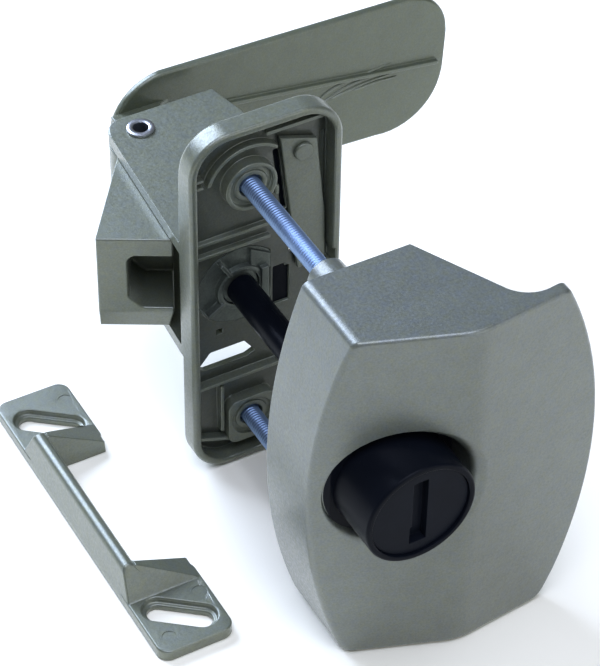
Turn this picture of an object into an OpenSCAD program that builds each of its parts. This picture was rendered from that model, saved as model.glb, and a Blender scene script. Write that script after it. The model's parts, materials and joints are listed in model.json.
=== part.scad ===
// Entry door latch: inside case with swinging latch bolt and paddle lever,
// outside pull handle with a push button, and a separate strike.
// X runs along the door, Y from outdoors to the room, Z up.
// The part stands on its lower edges, with the strike lying beside it.

/* [Inside case] */
// Width of the inside case
case_w = 38; // [38:0.5:46]
// Height of the inside case
case_h = 99.5; // [96:0.5:120]
// Depth of the inside case from rim to back
case_d = 5.8; // [5.6:0.1:8]
// Wall thickness of the inside case rim
case_wall = 2; // [1.5:0.1:2.6]
// Floor thickness of the inside case
case_floor = 1.6; // [1.2:0.1:2]
// Corner radius of the inside case
case_corner = 10; // [6:0.5:12]

/* [Mounting screws] */
// Distance between the two mounting screws
screw_spacing = 69.85; // [68:0.05:76.2]
// Thread diameter of the mounting screws
screw_d = 4.8; // [4:0.1:5.2]
// Screw line, from the left edge of the case
screw_x = 16; // [15:0.25:17]
// Height of the lower screw above the standing face
screw_low_z = 11.7; // [11:0.1:14]
// Radial clearance of a screw in its hole
screw_clear = 0.5; // [0.3:0.05:0.7]
// Head diameter of the mounting screws
screw_head_d = 9; // [7.5:0.1:9.5]
// Height of the mounting screw heads
screw_head_h = 2.2; // [1.6:0.1:3]
// Pitch of the fine screw thread
thread_pitch = 1.1; // [0.9:0.05:1.4]

/* [Bolt bracket] */
// Height of the bolt's middle above the standing face
axis_z = 51.7; // [50:0.1:55]
// Thickness of each ear of the bracket
ear_t = 3; // [2:0.1:4]
// Reach of the ears behind the back of the case
ear_reach = 46; // [45.5:0.25:50]
// Width of the ears at their rear end
ear_rear_w = 30; // [27:0.5:33]
// Diameter of the pivot pin
pin_d = 5.2; // [4.5:0.1:5.8]
// Diameter of the pivot pin's rolled head
pin_head_d = 6.6; // [6.2:0.1:8]
// Bore of the tubular pivot pin
pin_bore_d = 3.6; // [2.5:0.1:3.8]
// Pivot pin, from the left edge of the case
pin_x = 10.5; // [10:0.1:11]
// Pivot pin, from the back of the case
pin_back = 39.9; // [39.5:0.1:41]

/* [Latch bolt] */
// Height of the latch bolt
bolt_h = 27; // [25:0.25:28]
// Radius from the pivot pin to the catch face
bolt_face_r = 36.25; // [35:0.05:36.4]
// Angle that the catch face takes up round the pivot pin
bolt_face_span = 27.8; // [24:0.2:28.5]
// Angle from the pin's sideways line to the inner corner of the catch face
bolt_face_start = 105.2; // [104:0.2:108]
// Outer radius of the knuckles on the pivot pin
knuckle_r = 7.4; // [6.6:0.1:7.4]
// Height of the mouth in the catch face
mouth_h = 15.3; // [14:0.1:16]
// Length of the mouth along the catch face
mouth_l = 10.4; // [9.5:0.1:11]
// Depth of the mouth
mouth_depth = 13; // [11:0.25:15]
// How far lever and bolt swing
swing = 28; // [24:0.5:30]

/* [Inside lever] */
// Length of the paddle from the pivot pin to its tip
lever_l = 90.2; // [80:0.5:110]
// Height of the paddle
lever_h = 41.6; // [36:0.5:46]
// Thickness of the paddle
lever_t = 2.2; // [1.6:0.1:3]
// Gap between the ears and the paddle
lever_gap = 4.6; // [4:0.1:7]

/* [Outside handle] */
// Height of the outside handle
handle_h = 94; // [90:0.5:104]
// Width of the handle's top face from its left edge to the lip
handle_w = 47.2; // [45:0.2:52]
// Depth of the handle from its back to the front crease
handle_d = 30.4; // [29:0.2:34]
// Crease in the front face, from the left edge of the top face
crease_x = 24; // [22:0.25:27]
// Depth that the left edge lies behind the crease
left_fall = 8.8; // [6:0.1:10]
// Depth that the lip edge lies behind the crease
right_fall = 2.4; // [1:0.1:4]
// How far the left side bulges at half height
left_bulge = 8.3; // [5:0.1:9]
// How far the lip bulges at half height
lip_bulge = 11; // [6:0.1:12]
// Width of the handle's back, from the left edge of the top face
grip_back_w = 25.2; // [24.5:0.1:28]
// Radius of the finger pull behind the lip
pull_r = 8; // [6:0.1:9]
// Thickness of the lip
lip_t = 2.9; // [2.2:0.1:3.6]
// Wall thickness of the handle
handle_wall = 2.4; // [1.8:0.1:2.6]
// Door thickness that the latch is set for
door_t = 43; // [42:0.5:50]
// Length of the screw bosses behind the handle
boss_l = 12; // [8:0.5:16]
// Radius of the screw bosses
boss_r = 4.6; // [4.2:0.1:5.2]

/* [Push button] */
// Diameter of the push button
button_d = 26.4; // [24:0.2:27]
// Button axis, from the left edge of the case
button_x = 14; // [13.5:0.1:14.5]
// How far the button stands out of the handle at the crease side
button_proud = 3.6; // [3:0.1:6]
// How far the button travels
button_travel = 5.8; // [4.5:0.1:6]
// Diameter of the recess round the button
recess_d = 31; // [30:0.2:32]
// Running clearance of the button in its guide
run_clear = 0.08; // [0.05:0.01:0.1]
// Diameter of the slotted lock plug
plug_d = 23.4; // [21:0.2:23.6]
// Length of the turning slot in the plug
slot_l = 17.4; // [14:0.2:19]
// Width of the turning slot in the plug
slot_w = 3.5; // [2.5:0.1:4]
// Diameter of the push rod
rod_d = 7.2; // [6:0.1:7.6]
// Wire diameter of the button spring
spring_wire = 1.1; // [0.9:0.05:1.2]
// Turns of the button spring
spring_turns = 3; // [2:1:4]

/* [Night lock] */
// Room between the upper screw boss and the night lock lever
night_room = 4.8; // [4.6:0.1:6]
// Height of the thumb knob above the button's axis
knob_rise = 5.6; // [4:0.1:7]
// How far the night lock lever reaches below its stem
night_foot = 5; // [4:0.5:6]
// Tilt of the night lock lever
night_tilt = 7; // [5:0.5:7.5]
// Rivet of the night lock, from the top edge of the case
night_down = 13.4; // [12.5:0.1:14]
// Swing of the night lock lever
night_swing = 8; // [5:0.5:9]

/* [Strike] */
// Length of the strike
strike_l = 89.5; // [84:0.5:100]
// Width of the strike
strike_w = 18.6; // [16:0.2:22]
// Thickness of the strike's feet
strike_t = 3; // [2.4:0.1:4]
// Height of the strike's lip
strike_lip_h = 11; // [8:0.25:14]
// Thickness of the strike's lip
strike_lip_t = 4.2; // [3:0.1:5]
// Length of each foot of the strike
foot_l = 23; // [20:0.5:26]
// Length of each slot in the strike
strike_slot_l = 15; // [12:0.2:16]
// Width of each slot in the strike
strike_slot_w = 4.6; // [4:0.1:5]
// Gap between the strike and the case, as laid out
strike_gap = 14.4; // [13:0.2:20]

/* [Hidden] */
$fn = 64;
eps = 0.01;
// Clearance between parts that pass each other without touching
gap = 0.3;
small_fit = 0.05;

floor_y = case_d - case_floor;
pin_y = case_d + pin_back;
ear_rear_y = case_d + ear_reach;
inner_low_z = axis_z - bolt_h / 2 - gap;
inner_high_z = axis_z + bolt_h / 2 + gap;
screw_zs = [screw_low_z, screw_low_z + screw_spacing];
screw_r = screw_d / 2;
screw_hole_r = screw_r + screw_clear;
seat_y = case_d - screw_head_h + 0.4;
boss_outer_r = 6.4;
boss_inner_r = boss_outer_r - 0.2;

// Inner faces of the case's rim
tray_left = case_wall;
tray_right = case_w - case_wall;

// Opening in the case floor for the rod guide and the window under it
guide_r = 10.6;
guide_flat = 8;
guide_rise = 1.4;
fin_t = 0.9;
window_z = 28.6;
side_window_w = 4.2;
side_window_h = 11.5;
rib_t = 0.9;
arch_r = 11;

// Latch bolt corners, worked out round the pivot pin
function round_pin(r, a) = [pin_x + r * cos(a), pin_y + r * sin(a)];
bolt_corner = round_pin(bolt_face_r, -bolt_face_start);
bolt_tip = round_pin(bolt_face_r, -bolt_face_start - bolt_face_span);
bolt_low_z = axis_z - bolt_h / 2;
bolt_high_z = axis_z + bolt_h / 2;
face_dir = atan2(bolt_tip[1] - bolt_corner[1], bolt_tip[0] - bolt_corner[0]);
pin_clear = 0.06;
pin_hole_r = pin_d / 2 + pin_clear;
bush_t = 0.8;
bush_r = 6;

// Heights of the knuckles stacked on the pivot pin, from the lower ear up
coil_wire = 0.9;
coil_pitch = coil_wire + 0.5;
coil_turns = 3;
coil_space = coil_pitch * coil_turns + coil_wire;
knuckle_low_z = inner_low_z + bush_t + small_fit;
knuckle_high_z = inner_high_z - bush_t - small_fit;
lever_knuckle_h = 8;
coil_low_z = knuckle_low_z + lever_knuckle_h + 0.1;
bolt_knuckle_low_z = coil_low_z + coil_space + 0.2;
bolt_knuckle_high_z = knuckle_high_z - lever_knuckle_h - 0.3;

// Tail of the bolt that the plunger pushes
tail_t = 4;
tail_l = 15.5;
post_r = 2;
post_x = button_x + 8.25;
tail_z = (bolt_knuckle_low_z + bolt_knuckle_high_z) / 2;

// Paddle of the lever
paddle_front_y = ear_rear_y + lever_gap + 1.1;
paddle_tip_x = pin_x + lever_l;
paddle_left_x = pin_x - 2;
paddle_high_z = axis_z + lever_h / 2;
paddle_low_z = axis_z - lever_h / 2;

// Handle outline, seen from above
left_x = 3.8;
back_y = -door_t;
crease_y = back_y - handle_d;
facet_left = left_fall / crease_x;
lip_edge_x = left_x + handle_w;
facet_right = right_fall / (handle_w - crease_x);
handle_far = 20;
pull_x = left_x + 42.7;
pull_y = crease_y + facet_right * (pull_x - left_x - crease_x) + lip_t + pull_r;
grip_x = left_x + grip_back_w;
function front_left_y(x) = crease_y + facet_left * (left_x + crease_x - x);
function front_right_y(x) = crease_y + facet_right * (x - left_x - crease_x);
// Radius of an arc from its chord and its rise
function arc_r(chord, rise) = (chord * chord / 4 + rise * rise) / (2 * rise);
left_arc_r = arc_r(handle_h, left_bulge);
lip_arc_r = arc_r(handle_h, lip_bulge);
left_arc_x = left_x - left_bulge + left_arc_r;
lip_arc_x = lip_edge_x + lip_bulge - lip_arc_r;

// Push button stack along the button axis
button_z = axis_z;
button_r = button_d / 2;
button_face_y = crease_y - button_proud;
guide_front_y = front_left_y(button_x) + 5.2;
guide_r_button = button_r + run_clear;
flange_r = button_r + 1.4;
flange_y = guide_front_y + 5.4;
flange_t = 1.8;
chamber_r = flange_r + 0.25;
retainer_t = 1.4;
retainer_y = back_y - retainer_t - 0.6;
button_back_y = flange_y + flange_t;
plug_r = plug_d / 2;
plug_sink = 0.8;
plug_t = 4;
plug_stem_r = 5;
plug_end_y = button_back_y + 2;
collar_r = plug_stem_r - 0.8;
collar_l = 0.8;
rod_r = rod_d / 2;
rod_end_y = 3.2;
rod_start_y = button_back_y - 8;
cross_pin_r = 0.9;
cross_pin_y = button_back_y - 4;

// Plunger between the rod and the bolt
plunger_r = 4.6;
plunger_y = rod_end_y + 0.1;
plunger_l = 5;
clip_r = plunger_r + 0.9;
clip_t = 0.8;
clip_y = case_d + 1;
clip_groove_r = plunger_r - 0.5;
arm_y = plunger_y + plunger_l;
arm_t = 2.8;
post_tip_y = pin_y - tail_t / 2 - gap;

// Night lock
night_z = case_h - night_down;
night_w = tray_right - screw_x - boss_outer_r - night_room;
night_left = -night_w / 2 - 0.5;
night_right = night_w / 2 - 0.5;
night_x = tray_right - 2.9 - night_right;
night_top = 5.9;
night_t = 1.4;
night_front_y = floor_y - night_t - 0.25;
night_rivet_r = 2.3;
stem_down = (night_z - axis_z - knob_rise) / cos(night_tilt);
night_l = stem_down + night_foot;
stem_r = 1.5;
knob_t = 3.4;
knob_y = case_d + gap;
knob_screw_r = 0.6;
stem_end_y = case_d + 1.6;

// Strike laid out beside the case
strike_x = -strike_gap - strike_w;
strike_near_y = -48;
foot_mid_ys = [strike_near_y + foot_l * 0.42, strike_near_y + strike_l - foot_l * 0.5];

// Bounding box of the whole part, whose bottom centre is the origin
box_min_x = strike_x;
box_max_x = paddle_tip_x;
box_min_y = button_face_y;
box_max_y = paddle_front_y + lever_t;
origin = [(box_min_x + box_max_x) / 2, (box_min_y + box_max_y) / 2, 0];

// Puts a piece in the frame with its origin under the middle of the part
module place() {
    translate(-origin) children();
}

// Extrudes an outline drawn in X and Z along Y, from y0 to y1
module along_y(y0, y1) {
    translate([0, y1, 0]) rotate([90, 0, 0]) linear_extrude(y1 - y0) children();
}

// Round bar along Y from y0 to y1
module bar_y(x, z, r, y0, y1) {
    translate([x, y1, z]) rotate([90, 0, 0]) cylinder(r = r, h = y1 - y0);
}

// Rectangle with round corners, from the origin
module round_rect(w, h, r) {
    translate([r, 0]) square([w - 2 * r, h]);
    translate([0, r]) square([w, h - 2 * r]);
    for (x = [r, w - r], z = [r, h - r]) translate([x, z]) circle(r);
}

// Slot outline of a given length and width, centred and turned
module slot_2d(l, w, a) {
    rotate(a) {
        square([l - w, w], center = true);
        for (s = [-1, 1]) translate([s * (l - w) / 2, 0]) circle(w / 2);
    }
}

// Points of an arc from angle a0 to a1
function arc_points(c, r, a0, a1, n) =
    [for (i = [0:n]) let (a = a0 + (a1 - a0) * i / n) c + r * [cos(a), sin(a)]];

// Inside case

// Ear of the bolt bracket, seen from above
module ear_2d() {
    rear_x = pin_x - 7.3;
    corner_r = 5;
    difference() {
        union() {
            polygon([[0, case_d - eps], [rear_x, ear_rear_y - corner_r + 0.6],
                     [rear_x + corner_r, ear_rear_y], [rear_x + ear_rear_w - 1, ear_rear_y],
                     [rear_x + ear_rear_w + 1.4, ear_rear_y - 11], [case_w - 2, case_d - eps]]);
            translate([rear_x + corner_r, ear_rear_y - corner_r]) circle(corner_r);
        }
        translate([pin_x, pin_y]) circle(pin_d / 2 + small_fit);
    }
}

module screw_boss(z, square_r) {
    lip_y = 1.4;
    if (square_r > 0)
        along_y(lip_y, floor_y + eps) translate([screw_x - boss_inner_r, z - boss_inner_r - 0.9])
            round_rect(2 * boss_inner_r, 2 * boss_inner_r + 0.8, square_r);
    else
        bar_y(screw_x, z, boss_outer_r, lip_y, floor_y + eps);
    bar_y(screw_x, z, boss_inner_r, seat_y, case_d + 2.4);
}

module boss_cuts(z) {
    ring_r = boss_inner_r - 2.1;
    // Groove between the outer lip and the inner ring
    difference() {
        bar_y(screw_x, z, boss_inner_r - 0.8, -1, 2.4);
        bar_y(screw_x, z, ring_r, -1, case_d);
    }
    bar_y(screw_x, z, ring_r + 0.1, -1, 1.9);
    bar_y(screw_x, z, screw_hole_r, -1, case_d + boss_inner_r);
    bar_y(screw_x, z, screw_head_d / 2 + 0.2, seat_y, case_d + boss_inner_r);
}

// Rib on the case floor from a point in X and Z, l long, t high, turned by a, rising to y
module floor_rib(x, z, l, t, a, y) {
    along_y(y, floor_y + eps) translate([x, z]) rotate(a) square([l, t]);
}

module case_ribs() {
    low_y = floor_y - 1.3;
    high_y = floor_y - 2;
    // Two level ribs across the tray
    for (z = [axis_z + 11.9, axis_z + 15.7])
        floor_rib(tray_left - eps, z, 19.5, rib_t, 0, low_y);
    // Shelf under the window
    floor_rib(tray_left - eps, window_z - 4, 21.4, rib_t, 0, high_y - 0.3);
    // Short ribs in the upper corner
    for (z = [screw_zs[1] + 3, screw_zs[1] + 5])
        floor_rib(tray_left - eps, z, 2.6, rib_t - 0.2, 0, high_y);
    // Wall and sloping ledge beside the lower boss
    floor_rib(screw_x - boss_outer_r - 1.4, screw_low_z - 2.6, rib_t, 14.6, 0, high_y);
    floor_rib(tray_left - 0.2, screw_low_z - 2.9, 10, rib_t, -21, high_y);
    // Arched wall over the upper boss
    along_y(high_y, floor_y + eps) intersection() {
        translate([screw_x, screw_zs[1]]) difference() {
            circle(arch_r);
            circle(arch_r - rib_t);
        }
        translate([screw_x - arch_r, screw_zs[1] + 3]) square([arch_r + boss_outer_r + 0.4, arch_r]);
    }
    // Ledge along the top and short tab between the boss and the night lock lever
    floor_rib(screw_x + 4.4, case_h - 6.4, tray_right - screw_x - 5.4, rib_t, 0, low_y);
    floor_rib(screw_x + boss_outer_r + 0.3, screw_zs[1] - 6, rib_t, 2.6, 0, low_y);
}

// Openings cut through the floor of the case, drawn in X and Z
module floor_openings() {
    window_top_z = inner_low_z - ear_t - 1.4;
    translate([button_x, axis_z]) guide_2d(small_fit);
    // Window under the rod guide
    polygon([[tray_left + 3.2, window_z], [tray_left + 1.4, window_z + 1], [tray_left + 4.6, window_top_z],
             [screw_x - 0.6, window_top_z], [screw_x + 2.2, window_z + 1], [screw_x, window_z]]);
    // Window beside the rod guide, with a notch in its upper corner
    translate([button_x + guide_flat + 0.8, axis_z - 10]) {
        square([side_window_w, side_window_h - 0.8]);
        square([side_window_w - 1.2, side_window_h]);
    }
    // Small square hole between the guide and the lower ear
    translate([button_x - 5.8, inner_low_z + 0.5]) square(1.6);
    // Slot beside the night lock lever
    translate([night_x, night_z]) rotate(night_tilt) translate([night_left - 1.5, -16]) square([1.4, 18]);
    // Slot for the night lock stem
    translate([night_x, night_z]) for (a = [-4:4])
        rotate(night_tilt - night_swing / 2 + a * night_swing / 8)
            translate([0, -stem_down]) circle(stem_r + gap);
}

module inside_case() {
    place() color([0.47, 0.49, 0.45]) difference() {
        union() {
            difference() {
                along_y(0, case_d) round_rect(case_w, case_h, case_corner);
                along_y(-1, floor_y) translate([case_wall, case_wall])
                    round_rect(case_w - 2 * case_wall, case_h - 2 * case_wall, case_corner - case_wall);
                along_y(-1, case_d + 1) floor_openings();
                // Notch in the right wall
                translate([tray_right - eps, -1, axis_z]) cube([0.7, floor_y + 1, 4.6]);
                // Groove along the foot of the right wall
                translate([tray_right - 1.4, floor_y - 1, axis_z + 4.6]) cube([1.2, 1.8, 32]);
                // Hole for the night lock rivet
                bar_y(night_x, night_z, night_rivet_r / 2 + small_fit, -1, case_d + 1);
            }
            screw_boss(screw_zs[0], 2.6);
            screw_boss(screw_zs[1], 0);
            case_ribs();
            translate([0, 0, inner_low_z - ear_t]) linear_extrude(ear_t) ear_2d();
            translate([0, 0, inner_high_z]) linear_extrude(ear_t) ear_2d();
        }
        for (z = screw_zs) boss_cuts(z);
    }
}

module pivot_pin() {
    head_t = 0.7;
    low = inner_low_z - ear_t;
    high = inner_high_z + ear_t;
    place() color([0.56, 0.58, 0.56]) translate([pin_x, pin_y, 0]) difference() {
        union() {
            translate([0, 0, low - head_t]) cylinder(r = pin_head_d / 2, h = head_t);
            translate([0, 0, low]) cylinder(r = pin_d / 2, h = high - low);
            translate([0, 0, high]) cylinder(r = pin_head_d / 2, h = head_t);
        }
        translate([0, 0, low - 1]) cylinder(r = pin_bore_d / 2, h = high - low + 2);
    }
}

// Thin washers between the ears and the lever knuckles
module lever_bushes() {
    place() color([0.75, 0.72, 0.6]) translate([pin_x, pin_y, 0])
        for (z = [inner_low_z, inner_high_z - bush_t]) translate([0, 0, z]) difference() {
            cylinder(r = bush_r, h = bush_t);
            translate([0, 0, -1]) cylinder(r = pin_hole_r, h = bush_t + 2);
        }
}

// Outline of the rod guide, grown by g
module guide_2d(g) {
    intersection() {
        circle(guide_r + g);
        translate([-guide_r - 1, -guide_r - 1]) square([guide_r + 1 + guide_flat + g, 2 * guide_r + 2]);
    }
}

// Guide set in the floor of the case, in which the plunger slides
module rod_guide() {
    guide_front = floor_y - guide_rise;
    guide_back = clip_y - small_fit;
    sleeve_r = plunger_r + 1.4;
    place() color([0.5, 0.52, 0.52]) difference() {
        union() {
            along_y(floor_y, case_d) translate([button_x, axis_z]) guide_2d(0);
            bar_y(button_x, axis_z, sleeve_r, guide_front, guide_back);
            // Raised fins and tab beside the bore
            along_y(guide_front - 0.6, floor_y + eps) translate([button_x, axis_z]) {
                rotate(120) translate([sleeve_r - 0.6, -fin_t / 2]) square([guide_r - sleeve_r + 0.3, fin_t]);
                rotate(212) translate([sleeve_r - 0.6, -fin_t / 2]) square([guide_r - sleeve_r, fin_t]);
                translate([plunger_r + gap, -sleeve_r + 0.6]) square([2, 2 * sleeve_r - 2.4]);
            }
            // Pad in the upper right corner
            along_y(floor_y - 0.8, floor_y + eps) translate([button_x, axis_z])
                polygon([[guide_flat / 3, guide_r / 2], [guide_flat / 3, guide_r - 0.6],
                         [guide_flat - 0.2, guide_r * 0.64], [guide_flat - 0.2, guide_r / 4],
                         [guide_flat * 0.7, guide_r / 4]]);
        }
        bar_y(button_x, axis_z, plunger_r + run_clear, -1, case_d + guide_r);
    }
}

// Night lock

// Flat lever that turns on its rivet in front of the floor
module night_lock_lever() {
    taper = night_w / 5;
    place() color([0.48, 0.5, 0.46]) along_y(night_front_y, night_front_y + night_t)
        translate([night_x, night_z]) rotate(night_tilt) difference() {
            polygon([[night_left, night_top], [night_right, 1.6], [night_right - taper / 4, -night_l * 0.6],
                     [night_right - taper, -night_l], [night_left, -night_l]]);
            circle(night_rivet_r / 2 + pin_clear);
        }
}

module night_lock_rivet() {
    place() color([0.5, 0.52, 0.48]) {
        bar_y(night_x, night_z, night_rivet_r, night_front_y - 0.9, night_front_y - small_fit);
        bar_y(night_x, night_z, night_rivet_r / 2, night_front_y - small_fit - eps, case_d + small_fit);
        bar_y(night_x, night_z, night_rivet_r, case_d + small_fit - eps, case_d + 1);
    }
}

// Centre of the night lock stem
stem_place = [night_x + stem_down * sin(night_tilt), night_z - stem_down * cos(night_tilt)];

// Stem from the night lock lever through the floor of the case
module night_lock_stem() {
    place() color([0.48, 0.5, 0.46])
        bar_y(stem_place[0], stem_place[1], stem_r, night_front_y + night_t, stem_end_y);
}

// Thumb knob on the room side
module night_lock_knob() {
    foot_r = 2 * stem_r + 0.4;
    place() color([0.47, 0.49, 0.45]) difference() {
        union() {
            bar_y(stem_place[0], stem_place[1], foot_r, knob_y, knob_y + 1.3);
            along_y(knob_y, knob_y + knob_t) translate(stem_place) slot_2d(2 * foot_r - 0.4, 2.6, 90);
        }
        bar_y(stem_place[0], stem_place[1], stem_r, knob_y - 1, stem_end_y);
        bar_y(stem_place[0], stem_place[1], knob_screw_r, knob_y - 1, knob_y + knob_t + 1);
    }
}

// Small screw that holds the knob on the stem
module knob_screw() {
    place() color([0.6, 0.62, 0.64])
        bar_y(stem_place[0], stem_place[1], knob_screw_r, stem_end_y, knob_y + knob_t);
}

// Latch bolt and lever

// Bolt outline, seen from above
module bolt_2d() {
    polygon([bolt_tip, bolt_corner, round_pin(knuckle_r, -52), round_pin(knuckle_r * 0.5, 0),
             [pin_x, pin_y + knuckle_r * 0.6], round_pin(knuckle_r, 197.5)]);
}

module latch_bolt() {
    chamfer = mouth_h / 5;
    low_sill = mouth_h / 12;
    mouth_open = mouth_l * 0.9;
    mouth_z = axis_z + 0.75 - mouth_h / 2;
    place() color([0.48, 0.5, 0.47]) difference() {
        union() {
            difference() {
                translate([0, 0, bolt_low_z]) linear_extrude(bolt_h) bolt_2d();
                // Room for the knuckles of the lever and the coil
                translate([pin_x, pin_y, bolt_low_z - 1])
                    cylinder(r = knuckle_r + gap, h = bolt_knuckle_low_z - bolt_low_z + 1);
                translate([pin_x, pin_y, bolt_knuckle_high_z])
                    cylinder(r = knuckle_r + gap, h = bolt_high_z - bolt_knuckle_high_z + 1);
            }
            // Knuckle and tail
            translate([pin_x, pin_y, bolt_knuckle_low_z])
                cylinder(r = knuckle_r, h = bolt_knuckle_high_z - bolt_knuckle_low_z);
            translate([pin_x, pin_y - tail_t / 2, bolt_knuckle_low_z])
                cube([tail_l, tail_t, bolt_knuckle_high_z - bolt_knuckle_low_z]);
        }
        translate([pin_x, pin_y, bolt_low_z - 1]) cylinder(r = pin_hole_r, h = bolt_h + 2);
        // Mouth in the catch face, open towards the case
        translate([bolt_corner[0], bolt_corner[1], 0]) rotate(face_dir) translate([0, 1, 0])
            rotate([90, 0, 0]) linear_extrude(mouth_depth + 1)
                polygon([[-mouth_open, mouth_z], [mouth_l - chamfer, mouth_z], [mouth_l, mouth_z + chamfer],
                         [mouth_l, mouth_z + mouth_h - low_sill],
                         [mouth_l - low_sill, mouth_z + mouth_h], [-mouth_open, mouth_z + mouth_h]]);
    }
}

// Paddle outline in X and Z
module paddle_2d() {
    tip_high_r = 12.5;
    tip_low_r = 16;
    left_high_r = 15;
    left_low_r = 13;
    polygon(concat(
        arc_points([paddle_left_x + left_high_r, paddle_high_z - left_high_r], left_high_r, 180, 96, 10),
        arc_points([paddle_tip_x - tip_high_r, paddle_high_z - 1.6 - tip_high_r], tip_high_r, 84, 0, 10),
        arc_points([paddle_tip_x - tip_low_r - 0.6, paddle_low_z + tip_low_r], tip_low_r, -6, -100, 12),
        arc_points([paddle_left_x + left_low_r, paddle_low_z + 3 + left_low_r], left_low_r, 264, 180, 8)));
}

// Arm of the lever from its knuckle to the paddle, seen from above
module lever_arm_2d() {
    fillet_r = 5;
    arm_right = pin_x + 8.4;
    circle_y = paddle_front_y - fillet_r;
    translate([pin_x, pin_y]) circle(knuckle_r);
    polygon(concat([[paddle_left_x, pin_y], [pin_x, pin_y], [pin_x + knuckle_r - 0.4, pin_y + 3]],
        arc_points([arm_right + fillet_r, circle_y], fillet_r, 180, 90, 8),
        [[arm_right + fillet_r, paddle_front_y + eps], [paddle_left_x, paddle_front_y + eps]]));
}

module inside_lever() {
    rib_x = pin_x + 14;
    crease_d = 1.1;
    place() color([0.46, 0.48, 0.41]) difference() {
        union() {
            along_y(paddle_front_y, paddle_front_y + lever_t) paddle_2d();
            for (z = [knuckle_low_z, knuckle_high_z - lever_knuckle_h])
                translate([0, 0, z]) linear_extrude(lever_knuckle_h) lever_arm_2d();
            // Long rib along the paddle
            translate([rib_x, paddle_front_y - crease_d, axis_z + 7.4]) rotate([0, 8, 0])
                cube([paddle_tip_x - rib_x - 2, crease_d + 0.4, 1.1]);
        }
        translate([pin_x, pin_y, knuckle_low_z - 1])
            cylinder(r = pin_hole_r, h = knuckle_high_z - knuckle_low_z + 2);
    }
}

// Springs

// Rings of a tube swept along points, with square-on sections
function unit(v) = v / norm(v);
function tube_ring(p, dir, up, r, n) =
    let (side = unit(cross(dir, up)), top = cross(side, dir))
    [for (k = [0:n - 1]) p + r * (cos(360 * k / n) * side + sin(360 * k / n) * top)];
module tube(path, up, r, n = 6) {
    last = len(path) - 1;
    dirs = [for (i = [0:last]) unit(path[min(i + 1, last)] - path[max(i - 1, 0)])];
    pts = [for (i = [0:last]) each tube_ring(path[i], dirs[i], up, r, n)];
    sides = [for (i = [0:last - 1], k = [0:n - 1], half = [0, 1])
             let (a = i * n + k, b = i * n + (k + 1) % n)
             half == 0 ? [a, b, b + n] : [a, b + n, a + n]];
    ends = concat([for (k = [1:n - 2]) [0, k + 1, k]],
                  [for (k = [1:n - 2]) [last * n, last * n + k, last * n + k + 1]]);
    polyhedron(pts, concat(sides, ends));
}

// Helix round Y of the button spring
button_coil_r = 10.4;
button_spring_l = retainer_y - button_back_y - 2 * gap;
function button_coil_point(t) =
    [button_x + button_coil_r * cos(360 * t),
     button_back_y + gap + spring_wire / 2 + t * (button_spring_l - spring_wire) / spring_turns,
     button_z + button_coil_r * sin(360 * t)];
button_coil = [for (i = [0:8 * spring_turns]) button_coil_point(i / 8)];

module button_spring() {
    place() color([0.62, 0.64, 0.66]) tube(button_coil, [0, 1, 0], spring_wire / 2);
}

// Helix round the pivot pin of the return spring, with one leg at each end
coil_r = 5.6;
function return_coil_point(t) =
    [pin_x + coil_r * cos(360 * t), pin_y + coil_r * sin(360 * t),
     coil_low_z + 0.2 + coil_wire / 2 + t * coil_pitch];
return_coil = [for (i = [2:8 * coil_turns - 2]) return_coil_point(i / 8)];
// Straight legs leave the coil along its own direction at both ends
leg_l = 4.6;
return_path = concat([return_coil[0] + [leg_l, 0, 0]], return_coil,
                     [return_coil[len(return_coil) - 1] + [leg_l, 0, 0]]);

module return_spring() {
    place() color([0.62, 0.64, 0.66]) tube(return_path, [0, 0, 1], coil_wire / 2);
}

// Least distance between turns of a spring, less its wire
function turn_gap(points, wire) = min([for (i = [0:len(points) - 9]) norm(points[i + 8] - points[i])]) - wire;
echo(button_spring_turn_gap = turn_gap(button_coil, spring_wire));
echo(return_spring_turn_gap = turn_gap(return_coil, coil_wire));

// Screws

// Rings that stand for the thread, each with its own flank
module thread(r, l) {
    cylinder(r = r - 0.25, h = l);
    for (y = [0.6:thread_pitch:l - 0.6]) translate([0, 0, y]) cylinder(r = r, h = thread_pitch * 0.5);
}

module mounting_screws() {
    tip_y = back_y - 6;
    shank_l = seat_y - tip_y;
    place() color([0.58, 0.66, 0.78]) for (z = screw_zs) translate([screw_x, seat_y, z]) rotate([90, 0, 0]) {
        thread(screw_r, shank_l);
        translate([0, 0, -screw_head_h]) difference() {
            cylinder(r = screw_head_d / 2, h = screw_head_h + eps);
            translate([0, 0, -eps]) for (a = [0, 90]) rotate(a) translate([-2.6, -0.5, 0]) cube([5.2, 1, 1.2]);
        }
    }
}

// Outside handle

// Plan outline of the handle grown inwards by g
module handle_plan(g) {
    x0 = left_x - left_bulge - 3;
    x1 = lip_edge_x + lip_bulge + 3;
    lift_left = g * sqrt(1 + facet_left * facet_left);
    lift_right = g * sqrt(1 + facet_right * facet_right);
    difference() {
        polygon([[x0, back_y + (g > 0 ? 1 : 0)], [x0, front_left_y(x0) + lift_left],
                 [left_x + crease_x, crease_y + lift_left],
                 [x1, front_right_y(x1) + lift_right], [x1, back_y + (g > 0 ? 1 : 0)]]);
        finger_pull_2d(g);
    }
}

// Space behind the lip, grown by g
module finger_pull_2d(g) {
    r = pull_r + g;
    dx = pull_x - grip_x;
    dy = back_y - pull_y;
    reach = norm([dx, dy]);
    aim = atan2(-dy, dx) - asin(pull_r / reach);
    x1 = lip_edge_x + lip_bulge + 10;
    lip_y = front_right_y(x1) + lip_t + g;
    side = [-cos(90 + aim), -sin(90 + aim)] * g;
    translate([pull_x, pull_y]) circle(r);
    polygon([[grip_x, back_y + 2] + side, [grip_x, back_y] + side,
             [pull_x, pull_y] + r * [-sin(-aim), -cos(aim)],
             [pull_x, pull_y - r], [x1, lip_y - 2 * g], [x1, back_y + 2]]);
}

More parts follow.
